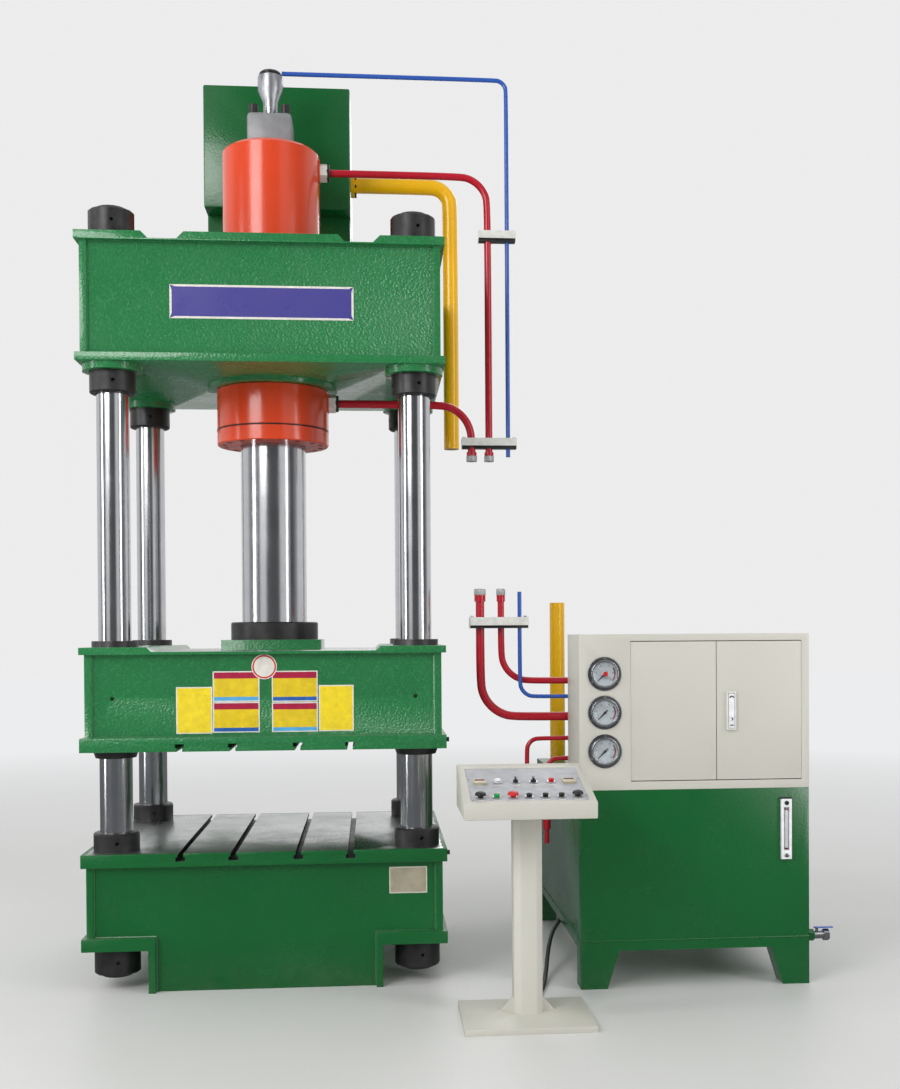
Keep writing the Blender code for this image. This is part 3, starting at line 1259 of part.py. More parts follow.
def motor_pump():
    """Finned motor with fan cover, bell housing and pump on the tank's rear half, piped to the manifold."""
    base = DECK
    y, z = MANIFOLD_FRONT + MANIFOLD_DEPTH + MOTOR_SETBACK, base + MOTOR_AXIS_RISE
    left, right = MOTOR_LEFT, MOTOR_LEFT + MOTOR_LENGTH
    outline = []
    root = MOTOR_RADIUS - MOTOR_FIN
    pitch = ((0, MOTOR_RADIUS), (FIN_GAP_SHARE, MOTOR_RADIUS), (FIN_GAP_SHARE, root), (1, root))
    for fin in range(MOTOR_FINS):
        for share, reach in pitch:
            angle = 2 * math.pi * (fin + share) / MOTOR_FINS
            outline.append((math.cos(angle) * reach, math.sin(angle) * reach))
    body = extruded("motor_pump", outline, left, right, GREEN)
    # The outline's first value becomes Y, its second Z, and its thickness X.
    body.data.transform(Matrix(((0, 0, 1, 0), (1, 0, 0, 0), (0, 1, 0, 0), (0, 0, 0, 1))))
    body.location = ((left + right) / 2, y, z)
    fan_end = right + FAN_COVER_LENGTH
    bell_start = left - BELL_LENGTH
    pump_start = bell_start - PUMP_LENGTH
    fan_cover = (FAN_COVER_RADIUS, (right - SINK, y, z), (fan_end, y, z))
    join(body, rods("fan cover", [fan_cover], sides=COLUMN_SIDES))
    bell = (BELL_RADIUS, (bell_start, y, z), (left + SINK, y, z))
    join(body, rods("bell housing", [bell], sides=BARREL_SIDES // 2))
    pump = (PUMP_RADIUS, (pump_start, y, z), (bell_start + SINK, y, z))
    join(body, rods("pump", [pump], sides=SMALL_SIDES))
    half = MOTOR_FOOT_WIDTH / 2
    foot_low = (left + MOTOR_FOOT_MARGIN, y - half, base)
    join(body, block("motor foot", foot_low, (right - MOTOR_FOOT_MARGIN, y + half, z - MOTOR_RADIUS / 2)))
    pump_x = (pump_start + bell_start) / 2
    manifold_back = MANIFOLD_FRONT + MANIFOLD_DEPTH + SEAT
    feed = (PUMP_PIPE_RADIUS, (pump_x, manifold_back, z), (pump_x, y, z))
    join(body, rods("pump feed", [feed], sides=SMALL_SIDES))
    suction = (PUMP_PIPE_RADIUS, (pump_x, y, base), (pump_x, y, z))
    join(body, rods("pump suction", [suction], sides=SMALL_SIDES))


def unit_pipes():
    """Pipes from the manifold to the left of the cabinet, with their clamp, and the open return pipe."""
    end, top = MANIFOLD_LEFT - SEAT, DECK + UNIT_PIPE_TOP_RISE
    depth, pilot_depth = MANIFOLD_FRONT + UNIT_PIPE_SETBACK, MANIFOLD_FRONT + UNIT_PILOT_SETBACK
    lift = (UNIT_LEFT - UNIT_LIFT_STAND_OFF, UNIT_LIFT_RADIUS)
    pressing = (UNIT_LEFT - UNIT_PRESSING_STAND_OFF, UNIT_PRESSING_RADIUS)
    pilot = (UNIT_LEFT - UNIT_PILOT_STAND_OFF, UNIT_PILOT_RADIUS)
    third = (UNIT_LEFT - UNIT_C_STAND_OFF, UNIT_C_RADIUS)
    fourth = (UNIT_LEFT - UNIT_D_STAND_OFF, UNIT_D_RADIUS)
    third_end, fourth_end = DECK + UNIT_C_RISE - UNIT_C_DROP, DECK + UNIT_D_RISE - UNIT_D_DROP
    for name, y, rise, (place, radius), tip, bend, kind in (
        ("unit_pipe_lift", depth, UNIT_LIFT_RISE, lift, top, UNIT_LIFT_BEND, RED),
        ("unit_pipe_pressing", depth, UNIT_PRESSING_RISE, pressing, top, UNIT_PRESSING_BEND, RED),
        ("unit_pipe_pilot", pilot_depth, UNIT_PILOT_RISE, pilot, top, UNIT_PILOT_BEND, BLUE),
        ("unit_pipe_c", depth, UNIT_C_RISE, third, third_end, UNIT_C_BEND, RED),
        ("unit_pipe_d", depth, UNIT_D_RISE, fourth, fourth_end, UNIT_D_BEND, RED),
    ):
        run = DECK + rise
        line = bent([(end, y, run), (place, y, run), (place, y, tip)], bend)
        body = swept(name, line, radius, kind)
        if name in ("unit_pipe_lift", "unit_pipe_pressing"):
            low = (place, y, tip - PIPE_FITTING_LENGTH)
            fitting(body, name + " union", radius, low, (place, y, tip + OVERRUN))
        if name == "unit_pipe_d":
            low = (place, y, tip + UNIT_D_FITTING_RISE)
            high = (place, y, tip + UNIT_D_FITTING_RISE + PIPE_FITTING_LENGTH)
            fitting(body, name + " union", radius * FITTING_SHARE, low, high)
    clamp("unit_pipe_clamp", (lift, pressing, pilot), (depth, depth, pilot_depth), DECK + UNIT_CLAMP_RISE)
    back = UNIT_FRONT + TANK_DEPTH
    foot = Vector((UNIT_LEFT + UNIT_RETURN_MARGIN, back - UNIT_RETURN_BACK_MARGIN, DECK))
    tip = foot + UP * UNIT_RETURN_HEIGHT
    pipe = swept("unit_pipe_return", [foot, tip], RETURN_RADIUS, YELLOW)
    hollow_end(pipe, tip, -UP)


def console_stand():
    """Base plate, post with cut corners and its side gussets."""
    left, right = CONSOLE_LEFT, CONSOLE_LEFT + CONSOLE_WIDTH
    front, back = CONSOLE_FRONT + PLATE_FRONT_MARGIN, CONSOLE_FRONT + CONSOLE_DEPTH
    body = block("console_stand", (left, front, 0), (right, back, PLATE_THICKNESS), OFF_WHITE)
    middle = (left + right) / 2 + POST_SHIFT
    y0 = CONSOLE_FRONT + POST_SETBACK
    x, y1, cut_in = POST_WIDTH / 2, y0 + POST_DEPTH, POST_CORNER
    half = [(x, y0 + cut_in), (x, y1 - cut_in), (x - cut_in, y1)]
    half = [(x - cut_in, y0)] + half
    outline = [(middle + u, v) for u, v in half] + [(middle - u, v) for u, v in reversed(half)]
    join(body, extruded("post", outline, PLATE_THICKNESS - SINK, CONSOLE_BASE - SEAT))
    base, y = PLATE_THICKNESS - SINK, (y0 + y1) / 2
    for name, way in (("left", -1), ("right", 1)):
        edge = middle + way * (x - SINK)
        points = [(edge, base), (edge + way * GUSSET_REACH, base), (edge, base + GUSSET_HEIGHT)]
        low, high = y - GUSSET_THICKNESS / 2, y + GUSSET_THICKNESS / 2
        join(body, extruded("gusset " + name, points, low, high, face="XZ"))


def panel_turn():
    """Slope of the console's panel."""
    return math.atan2(CONSOLE_REAR_HEIGHT - CONSOLE_FRONT_HEIGHT, CONSOLE_DEPTH)


def panel_place(x, along, lift=0.0):
    """A point on the sunk panel: x in the world, along the slope from the box's front edge, lifted off it."""
    slope = panel_turn()
    normal = Vector((0, -math.sin(slope), math.cos(slope)))
    tangent = Vector((0, math.cos(slope), math.sin(slope)))
    edge = Vector((x, CONSOLE_FRONT, CONSOLE_BASE + CONSOLE_FRONT_HEIGHT))
    return edge + tangent * along + normal * (lift - PANEL_RECESS)


def row_places(count, spacing):
    middle = CONSOLE_LEFT + CONSOLE_WIDTH / 2
    return [middle + (index - (count - 1) / 2) * spacing for index in range(count)]


def control_places():
    """Every control with its kind, colour and place on the panel."""
    rows = ((FRONT_CONTROLS, FRONT_ROW, FRONT_ROW_SPACING), (REAR_CONTROLS, REAR_ROW, REAR_ROW_SPACING))
    for controls, along, spacing in rows:
        for (name, form, kind), x in zip(controls, row_places(len(controls), spacing)):
            yield name, form, kind, x, along


def console_box():
    """Sloped box with a sunk panel, two meters and a ring round each control's hole.

    It is drawn in the sunk panel's own frame, X to the right and Y up the slope, and then set in place.
    """
    front, back, base = CONSOLE_FRONT, CONSOLE_FRONT + CONSOLE_DEPTH, CONSOLE_BASE
    side = [(front, base), (back, base), (back, base + CONSOLE_REAR_HEIGHT)]
    side.append((front, base + CONSOLE_FRONT_HEIGHT))
    slope, origin = panel_turn(), panel_place(0, 0)
    tangent = Vector((0, math.cos(slope), math.sin(slope)))
    normal = Vector((0, -math.sin(slope), math.cos(slope)))
    offsets = [Vector((0, y, z)) - origin for y, z in side]
    half = CONSOLE_WIDTH / 2
    middle = CONSOLE_LEFT + half
    outline = [(offset.dot(tangent), offset.dot(normal)) for offset in offsets]
    body = extruded("console_box", outline, -half, half, OFF_WHITE)
    # The outline's first value becomes Y, its second Z, and its thickness X.
    body.data.transform(Matrix(((0, 0, 1, 0), (1, 0, 0, 0), (0, 1, 0, 0), (0, 0, 0, 1))))
    round_edges(body, CONSOLE_ROUNDING)
    inner, length = half - PANEL_SIDE_MARGIN, CONSOLE_DEPTH / math.cos(slope)
    panel_low = (-inner, PANEL_FRONT_MARGIN, 0)
    cut(body, block("panel recess", panel_low, (inner, length - PANEL_REAR_MARGIN, PANEL_RECESS + OVERRUN)))
    hole, depth = clear_of(BUTTON_RADIUS, SMALL_SIDES), -(BUTTON_ROOT + MUSHROOM_TRAVEL + SINK)
    for name, form, _, x, y in control_places():
        if form == "meter":
            meter(body, name, x - middle, y)
            continue
        at = (x - middle, y, 0)
        disc = [(0, RING_HEIGHT), (RING_RADIUS, RING_HEIGHT), (RING_RADIUS, -SINK), (0, -SINK)]
        join(body, turned(name + " ring", disc, at, sides=SMALL_SIDES))
        bore = [(0, RING_HEIGHT + OVERRUN), (hole, RING_HEIGHT + OVERRUN), (hole, depth), (0, depth)]
        cut(body, turned(name + " hole", bore, at, sides=SMALL_SIDES))
    settle(body)
    body.location, body.rotation_euler = origin + Vector((middle, 0, 0)), (slope, 0, 0)


def meter(body, name, x, y):
    """A square panel meter with its window sunk, joined to the console's box."""
    half_x, half_y = METER_WIDTH / 2, METER_DEPTH / 2
    join(body, block(name, (x - half_x, y - half_y, -SINK), (x + half_x, y + half_y, METER_HEIGHT)))
    low = (x - half_x + METER_MARGIN, y - half_y + METER_MARGIN, METER_HEIGHT - METER_WINDOW_DEPTH)
    high = (x + half_x - METER_MARGIN, y + half_y - METER_MARGIN, METER_HEIGHT + OVERRUN)
    cut(body, block(name + " window", low, high))


def controls():
    """Push buttons, mushroom buttons and selectors, each with its origin on its axis in the panel."""
    turn = (panel_turn(), 0, 0)
    for name, form, kind, x, along in control_places():
        at = panel_place(x, along)
        shank = [(BUTTON_RADIUS, -BUTTON_ROOT), (0, -BUTTON_ROOT)]
        if form == "button":
            top = RING_HEIGHT + BUTTON_TRAVEL
            turned(name, [(0, top), (BUTTON_RADIUS, top)] + shank, at, kind, SMALL_SIDES, turn)
        if form == "mushroom":
            crest, brim = MUSHROOM_HEIGHT, MUSHROOM_STEM
            dome = [(0, crest)]
            for share_r, share_z in MUSHROOM_SHARES:
                dome.append((MUSHROOM_RADIUS * share_r, brim + (crest - brim) * share_z))
            dome += [(MUSHROOM_RADIUS, brim), (BUTTON_RADIUS, brim)]
            turned(name, dome + shank, at, kind, SMALL_SIDES, turn)
        if form == "selector":
            top = RING_HEIGHT + SELECTOR_HEIGHT
            body = turned(name, [(0, top), (BUTTON_RADIUS, top)] + shank, at, kind, SMALL_SIDES, turn)
            half_x, half_y = SELECTOR_GRIP_WIDTH / 2, SELECTOR_GRIP_LENGTH / 2
            high = (half_x, half_y, top + SELECTOR_GRIP_HEIGHT)
            grip = block(name + " grip", (-half_x, -half_y, top - SINK), high, pivot=(0, 0, 0))
            grip.location, grip.rotation_euler = at, turn
            join(body, grip)


def smooth_line(points, step):
    """Points at about the given step on a smooth curve through the route's own points."""
    points = [Vector(point) for point in points]
    padded = [points[0] * 2 - points[1]] + points + [points[-1] * 2 - points[-2]]
    line = []
    for a, b, c, d in zip(padded, padded[1:], padded[2:], padded[3:]):
        pieces = max(1, round((c - b).length / step))
        for index in range(pieces):
            t = index / pieces
            square = (a * 2 - b * 5 + c * 4 - d) * t**2
            cube = (b * 3 - a - c * 3 + d) * t**3
            line.append((b * 2 + (c - a) * t + square + cube) / 2)
    line.append(points[-1])
    return line


def control_cable():
    """Cable from the gland under the oil tank, along the floor, to the back of the console's post."""
    swept("control_cable", smooth_line(CABLE_ROUTE, CABLE_STEP), CABLE_RADIUS, BLACK, sides=HOLE_SIDES)


def merge_flats():
    """Joins the coplanar faces that the cuts and unions leave on the pieces."""
    for obj in bpy.data.collections["Hydraulic press"].objects:
        if any(modifier.type == "BOOLEAN" for modifier in obj.modifiers):
            merge = obj.modifiers.new("Merge flats", "DECIMATE")
            merge.decimate_type = "DISSOLVE"
            merge.angle_limit = FLAT_ANGLE


def main():
    start_scene()
    columns()
    bed()
    slide()
    crown()
    cylinder()
    gland()
    ram()
    prefill_valve()
    prefill_tank()
    press_pipes()
    press_clamps()
    oil_tank()
    cabinet()
    switchgear()
    doors()
    gauges()
    level_and_drain()
    manifold()
    motor_pump()
    unit_pipes()
    console_stand()
    console_box()
    controls()
    control_cable()
    merge_flats()


main()
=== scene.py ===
"""Looks of the four-column hydraulic press, its power unit and its control console."""

import json
import math
from contextlib import contextmanager

import bmesh
import bpy
from bpy.props import FloatProperty, FloatVectorProperty, PointerProperty
from mathutils import Matrix, Vector

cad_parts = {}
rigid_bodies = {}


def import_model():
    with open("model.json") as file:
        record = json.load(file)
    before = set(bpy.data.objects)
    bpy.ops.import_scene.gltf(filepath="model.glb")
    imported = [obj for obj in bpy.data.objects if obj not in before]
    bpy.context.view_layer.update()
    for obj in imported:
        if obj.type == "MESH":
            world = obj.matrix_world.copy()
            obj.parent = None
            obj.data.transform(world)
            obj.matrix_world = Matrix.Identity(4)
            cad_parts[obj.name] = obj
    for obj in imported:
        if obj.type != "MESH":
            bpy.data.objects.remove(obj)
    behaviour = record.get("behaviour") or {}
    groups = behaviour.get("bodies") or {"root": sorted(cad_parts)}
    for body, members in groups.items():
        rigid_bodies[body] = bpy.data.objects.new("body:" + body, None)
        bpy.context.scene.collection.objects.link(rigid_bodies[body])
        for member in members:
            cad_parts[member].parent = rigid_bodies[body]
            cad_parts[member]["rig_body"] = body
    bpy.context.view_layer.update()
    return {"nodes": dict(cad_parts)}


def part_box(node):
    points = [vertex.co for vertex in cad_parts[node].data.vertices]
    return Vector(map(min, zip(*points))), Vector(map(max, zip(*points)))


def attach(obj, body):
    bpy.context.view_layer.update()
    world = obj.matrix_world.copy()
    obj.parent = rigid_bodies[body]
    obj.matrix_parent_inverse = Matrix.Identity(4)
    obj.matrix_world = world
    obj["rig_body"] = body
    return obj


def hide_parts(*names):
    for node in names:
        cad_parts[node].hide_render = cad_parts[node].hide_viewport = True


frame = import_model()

bl_info = {
    "name": "Hydraulic press looks",
    "version": (1, 0, 0),
    "blender": (4, 5, 0),
    "location": "View3D > Sidebar > Press",
    "description": "Dresses the packed hydraulic press with its finishes and fine pieces",
    "category": "Object",
}

# Photograph and its camera
IMAGE_WIDTH, IMAGE_HEIGHT = 900, 1089
FOCAL_PIXELS = 1306.77
MIDDLE_PIXEL = (484.84, 648.54)
SENSOR = 36.0
CAMERA_PLACE = (0.4239, -5.7707, 1.4083)
CAMERA_YAW, CAMERA_PITCH, CAMERA_ROLL = 0.086, -0.0119, -0.006

# Cable from the power unit to the console
CABLE_DIAMETER = 0.018
CABLE_STEP = 0.012
CABLE_ROUTE = (
    (1.248, -0.02, 0.13),
    (1.229, -0.08, 0.13),
    (1.21, -0.14, 0.128),
    (1.192, -0.195, 0.122),
    (1.176, -0.25, 0.11),
    (1.16, -0.31, 0.091),
    (1.146, -0.37, 0.07),
    (1.134, -0.43, 0.05),
    (1.123, -0.49, 0.033),
    (1.111, -0.55, 0.019),
    (1.099, -0.61, 0.0115),
    (1.085, -0.67, 0.0095),
    (1.068, -0.73, 0.0095),
    (1.048, -0.785, 0.014),
    (1.024, -0.835, 0.028),
    (1.0, -0.88, 0.045),
    (0.986, -0.918, 0.0565),
    (0.9835, -0.935, 0.058),
    (0.9835, -0.9496, 0.058),
)

# Sizes of the frame's pieces that the looks follow
COLUMN_X, COLUMN_Y = 0.6, 0.44
COLUMN_RADIUS = 0.065
COLUMN_BARE = (0.17, 2.99)
PLATE_OVERHANG = 0.018
SIDE_PLATE = 0.028
WEB_DEPTH = PLATE_OVERHANG + 0.012
CROWN_WEB = (2.512, 2.952)
SLIDE_WEB = (1.004, 1.3315)
SLIDE_RECESS = 0.043
SLIDE_DECK_REACH = 0.45
SLIDE_COLLARS = (0.9485, 1.361)
COLLAR_REACH = 0.096
TABLE_BASE = 0.496
TABLE_SLOT_FLOOR = 0.515
TABLE_SLOT_REACH = (0.36, 0.565)
FOOT_INNER = 0.432
FLANGE_TOP = 0.218
GLAND_SCREWS = 16
GLAND_SCREW_CIRCLE = 0.209
COUNTERBORE_DEPTH = 0.012
VALVE_SCREW_HEIGHT = 0.034
CAP_LID_DEPTH = 0.033
UNION_LENGTH = 0.03
UNION_RING_LENGTH = 0.012
CLAMP_RAIL = 0.0121
PUMP_LENGTH = 0.149
TANK_SEAM_HEIGHT = 0.19
TANK_WIDTH = 0.922
DRAIN_NIPPLE = 0.033
GAUGE_RIM_RADIUS = 0.054
GAUGE_WINDOW_RADIUS = 0.049
GAUGE_FLANGE_RADIUS = 0.0668
GAUGE_FLANGE_FRONT, GAUGE_FLANGE_BACK = 0.012, 0.0157
GAUGE_DIAL_DEPTH = 0.009
GAUGE_BODY_DEPTH = 0.044
PANEL_RECESS = 0.003
PANEL_RING_TOP = 0.0052
PANEL_MARGIN = (0.027, 0.024, 0.045)
RING_MARGIN = 0.052
METER_WINDOW = (0.007, 0.0092)
METER_FOOT = 0.0042
METER_REACH = 0.163

# Fine pieces of the frame, cylinder and pipes
NEAR = 0.001
MERGE = 0.00001
SKIN_GAP = 0.0003
FACING, FACING_SQUARELY, FACING_EXACTLY = 0.9, 0.99, 0.999
FLAT_ANGLE = math.radians(0.2)
SMOOTH_ANGLE = math.radians(35)
CREASE_ANGLE = math.radians(50)
BEAD_PITCH = 0.005
BEAD_SIDES = 8
BEAD_TAPER = 0.8
SEAM_RADIUS = 0.003
PLUG_RADIUS, PLUG_HEIGHT = 0.0095, 0.011
PLUGS = (("bed_plug", "bed", (-0.541, 0.53)), ("slide_plug", "slide", (-0.545, 0.984)))
GLAND_SCREW_RADIUS = 0.0118
JOINT_PROUD, JOINT_HEIGHT, JOINT_WALL, JOINT_EDGE = 0.0004, 0.005, 0.02, 0.0012
RETURN_BARE_END, UNIT_RETURN_BARE_END = 0.05, 0.025
BOLT_RADIUS = 0.0075
CLAMP_BOLT_HEIGHT, CLAMP_BOLT_INSET = 0.006, 0.0095
END_NUT_LENGTH, END_NUT_SHARE = 0.024, 1.12
RETURN_BOLTS, RETURN_BOLT_CIRCLE, RETURN_BOLT_HEIGHT = 8, 0.05, 0.007

# Fine pieces of the power unit
ARCH_RADIUS, ARCH_DEPTH, ARCH_WALL, ARCH_DROP, ARCH_EDGE = 0.0095, 0.0012, 0.0045, 0.017, 0.0002
ARCH_PROUD = 0.0004
KEY_RADIUS, KEY_HEIGHT, KEY_RISE = 0.0058, 0.0022, 0.036
LOCK_SLOT_SIZE, LOCK_SLOT_RISE, LOCK_SLOT_EDGE = (0.016, 0.0016, 0.004), 0.011, 0.0005
TUBE_RADIUS, TUBE_DEPTH, TUBE_ENDS, TUBE_WALL, TUBE_EDGE = 0.0062, 0.0045, 0.076, 0.0015, 0.0005
SEAL_RADIUS, SEAL_HEIGHT, SEAL_INSET, SEAL_EDGE = 0.008, 0.006, 0.0425, 0.0012
LEVEL_BOLT_RADIUS, LEVEL_BOLT_HEIGHT = 0.0095, 0.005
LEVEL_BOLT_DROP, LEVEL_BOLT_RISE = 0.018, 0.016
TOP_CAP_OVERHANG, TOP_CAP_HEIGHT, TOP_CAP_EDGE = 0.002, 0.007, 0.0015

# Fine pieces of the gauges
GAUGE_EDGE = 0.0006
RIM_LAP = 0.0005
RIM_UNDERLAP, WINDOW_LAP = 0.001, 0.0012
RING_EDGE, RING_SEGMENTS = 0.0014, 4
BLADE_START, BLADE_TIP = 0.0045, 0.04
BLADE_WIDTH, BLADE_TIP_SHARE = 0.0068, 0.22
BLADE_THICKNESS, BLADE_DEPTH_SHARE, BLADE_EDGE = 0.002, 0.7, 0.0002
DIAL_THICKNESS, DIAL_MARGIN = 0.00008, 0.0002
DIAL_RIM, DIAL_LINE = 0.003, 0.0006
DIAL_LINE_PLACE, DIAL_LINE_REACH = 0.0035, 0.0004
DIAL_TURN = math.radians(270)
DIAL_START = math.radians(225)
DIAL_TICKS, DIAL_LONG_TICKS = 25, 5
MARK_RING = GAUGE_WINDOW_RADIUS - 0.006
MARK_THICKNESS, MARK_LIFT = 0.00004, 0.00006
SHORT_TICK, LONG_TICK = (0.003, 0.0004), (0.006, 0.0008)
RED_ARC_START = math.radians(36)
RED_ARC_TURN = math.radians(76)
RED_ARC_STEPS, RED_ARC_INSET = 80, 0.0035
RED_ARC_SIZE = (0.0052, MARK_THICKNESS, 0.0008)
NUMBERS = ("0", "5", "10", "15", "20", "25")
NUMBER_SIZE, NUMBER_THICKNESS, NUMBER_INSET = 0.0085, 0.00002, 0.0105
GLASS_THICKNESS, GLASS_DEPTH, GLASS_MARGIN, GLASS_EDGE = 0.0016, 0.0034, 0.0001, 0.0003
SETTER_HOLE = 0.003
SMALL_SCREW_RADIUS = 0.0032
GAUGE_SCREW_CIRCLE, GAUGE_SCREW_HEIGHT, GAUGE_SCREW_TURNS = 0.0605, 0.003, (90, 210, 330)

# Fine pieces of the console
CONTROL_EDGE = 0.0006
CAP_RADIUS, LENS_RADIUS = 0.0112, 0.0128
CAP_DOME_SHARE = 0.45
CAP_FACE_ORDER = Vector((1, 37, 1009))
CAP_LIFT = 0.0092
SHADE_SIZE, SHADE_LIFT, SHADE_DROP, SHADE_EDGE = (0.0376, 0.019, 0.0018), 0.009, 0.007, 0.0004
TAG_SIZE = (0.026, 0.0085, 0.0016)
TAG_REACH, TAG_EDGE = 0.0225, 0.0003
PANEL_SCREW_HEIGHT, PANEL_SCREW_INSET = 0.0018, 0.034
PANEL_SCREW_FRONT, PANEL_SCREW_REAR = -0.026, 0.04
POST_SHIFT, POST_MIDDLE = 0.0115, 0.25
COLLAR_WIDTH, COLLAR_HEIGHT, COLLAR_DROP, COLLAR_EDGE = 0.134, 0.012, 0.0065, 0.002

# Bare plates, each with its low left and high right corner
PLATE_THICKNESS = 0.0015
PLATE_INSIDE_SHARE = 0.9
NAME_FIELD = ((-0.36, 2.6526), (0.36, 2.786))
NAME_BORDER, NAME_CORNER = 0.008, 0.012
SLIDE_BORDER = 0.004
YELLOW_FIELDS = (((-0.348, 1.017), (-0.207, 1.202)), ((0.211, 1.021), (0.349, 1.205)))
BANDED_FIELDS = (
    ((-0.205, 1.142), (-0.022, 1.263), "sheet_sky"),
    ((-0.205, 1.020), (-0.022, 1.141), "sheet_blue"),
    ((0.026, 1.140), (0.207, 1.263), "sheet_blue"),
    ((0.026, 1.020), (0.207, 1.138), "sheet_sky"),
)
BAND_TOP_SHARE, BAND_FOOT_SHARE = 0.76, 0.16
DATA_FIELD = ((0.486, 0.368), (0.637, 0.474))
DATA_BORDER = 0.003
DISC_PLACE, DISC_RADIUS, DISC_LIFT_SHARE = (-0.003, 1.28), 0.05, 1.6
DISC_BORDER, DISC_BAND = 0.0035, 0.006
DISC_RED = (0.040, 0.0465)

# Dressed nodes with their finishes
PIPES = (
    ("pipe_pressing", "red"),
    ("pipe_lift", "red"),
    ("pipe_pilot", "blue"),
    ("pipe_return", "yellow"),
    ("unit_pipe_lift", "red"),
    ("unit_pipe_pressing", "red"),
    ("unit_pipe_pilot", "blue"),
    ("unit_pipe_c", "red"),
    ("unit_pipe_d", "red"),
    ("unit_pipe_return", "yellow"),
)
CONTROLS = (
    ("mushroom_left", "black"),
    ("mushroom_right", "black"),
    ("emergency_stop", "bright_red"),
    ("button_green", "bright_green"),
    ("button_white", "white"),
    ("button_red", "bright_red"),
    ("button_black_1", "black"),
    ("button_black_2", "black"),
    ("button_black_3", "black"),
    ("selector_1", "black"),
    ("selector_2", "black"),
)
CAPS = (
    ("button_green", "bright_green", CAP_RADIUS),
    ("button_red", "bright_red", CAP_RADIUS),
    ("button_black_1", "black", CAP_RADIUS),
    ("button_black_2", "black", CAP_RADIUS),
    ("button_black_3", "black", CAP_RADIUS),
    ("button_white", "lens", LENS_RADIUS),
)

# Studio
LAMP_AIM = (0.7, 0, 1.5)
KEY_PLACE, KEY_SIZE = (-3.4, -5.6, 4.6), (3.0, 3.0)
LEFT_STRIP_PLACE, LEFT_STRIP_SIZE = (-4.6, -1.8, 2.4), (0.7, 4.2)
RIGHT_STRIP_PLACE, RIGHT_STRIP_SIZE = (4.8, -3.6, 2.6), (0.8, 4.2)
BACK_PLACE, BACK_SIZE, BACK_SHARE = (1.5, 5.5, 5.2), (3.0, 2.0), 4
FLOOR_RADIUS = 40
BACKDROP = 0.84

# Turns
FACE_FRONT = (math.pi / 2, 0, 0)
UPRIGHT = Matrix.Rotation(math.pi / 2, 4, "X")
SIDEWAYS = Matrix.Rotation(math.pi / 2, 4, "Y")


def srgb(red, green, blue):
    """A linear colour from 0 to 255 screen values."""
    return tuple((value / 255 / 12.92) if value < 11 else ((value / 255 + 0.055) / 1.055) ** 2.4
                 for value in (red, green, blue))


def colour(label, text, value):
    """A colour that the user can change."""
    return FloatVectorProperty(
        name=label, description=text, default=value, min=0, max=1, size=3, subtype="COLOR")


class PressColours(bpy.types.PropertyGroup):
    """Colours of the press's finishes."""

    hammered_green: colour(
        "Hammered green", "Hammered enamel of upper beam, slide and motor", srgb(34, 120, 66))
    bed_green: colour("Bed green", "Glossy enamel of bed and oil tanks", srgb(16, 98, 46))
    orange: colour("Cylinder orange", "Enamel of cylinder and gland", srgb(226, 72, 34))
    off_white: colour("Off-white", "Enamel of cabinet and console", srgb(208, 206, 196))
    pipe_red: colour("Pipe red", "Enamel of the pressure pipes", srgb(188, 20, 42))
    pipe_yellow: colour("Pipe yellow", "Enamel of the return pipes", srgb(255, 194, 4))
    pipe_blue: colour("Pipe blue", "Enamel of the pilot pipes", srgb(46, 92, 184))
    name_field: colour("Name field", "Bare name field on the upper beam", srgb(72, 68, 146))
    sheet_yellow: colour("Sheet yellow", "Yellow fields on the slide", srgb(240, 214, 40))


class PressSizes(bpy.types.PropertyGroup):
    """Sizes of the press's fine pieces."""

    plate_edge: FloatProperty(name="Plate edge", description="Broken edge of the welded plates",
                              default=0.0016, min=0.0002, max=0.004, unit="LENGTH")
    sheet_edge: FloatProperty(name="Sheet edge", description="Broken edge of the sheet metal",
                              default=0.001, min=0.0002, max=0.002, unit="LENGTH")
    bead_radius: FloatProperty(name="Weld bead", description="Radius of the weld beads",
                               default=0.006, min=0.002, max=0.01, unit="LENGTH")


class PressStage(bpy.types.PropertyGroup):
    """Light and floor of the studio."""

    key_power: FloatProperty(name="Key light", description="Power of the main soft light",
                             default=200.0, min=0, unit="POWER")
    fill_power: FloatProperty(name="Fill light", description="Power of each strip light",
                              default=60.0, min=0, unit="POWER")
    ambient: FloatProperty(name="Ambient", description="Strength of the even light from all round",
                           default=0.6, min=0, max=1)


# Modelling helpers


def start(add, **settings):
    """Adds a primitive with nothing else selected."""
    bpy.ops.object.select_all(action="DESELECT")
    add(**settings)
    return bpy.context.object


def block(place, size):
    """A box centred on a place, with its place and size in its mesh."""
    piece = start(bpy.ops.mesh.primitive_cube_add, size=1, location=place, scale=size)
    bpy.ops.object.transform_apply(location=True, rotation=True, scale=True)
    return piece


def drum(place, radius, depth, sides, turn=(0, 0, 0)):
    """A cylinder centred on a place, upright or turned, with its place and turn in its mesh."""
    piece = start(bpy.ops.mesh.primitive_cylinder_add, vertices=sides, radius=radius, depth=depth,
                  rotation=turn, location=place)
    bpy.ops.object.transform_apply(location=True, rotation=True, scale=True)
    return piece


@contextmanager
def editing(piece):
    """Edit mode on one piece alone, with nothing in it selected."""
    only(piece)
    bpy.ops.object.mode_set(mode="EDIT")
    bpy.ops.mesh.select_mode(type="FACE")
    bpy.ops.mesh.select_all(action="DESELECT")
    yield
    bpy.ops.object.mode_set(mode="OBJECT")


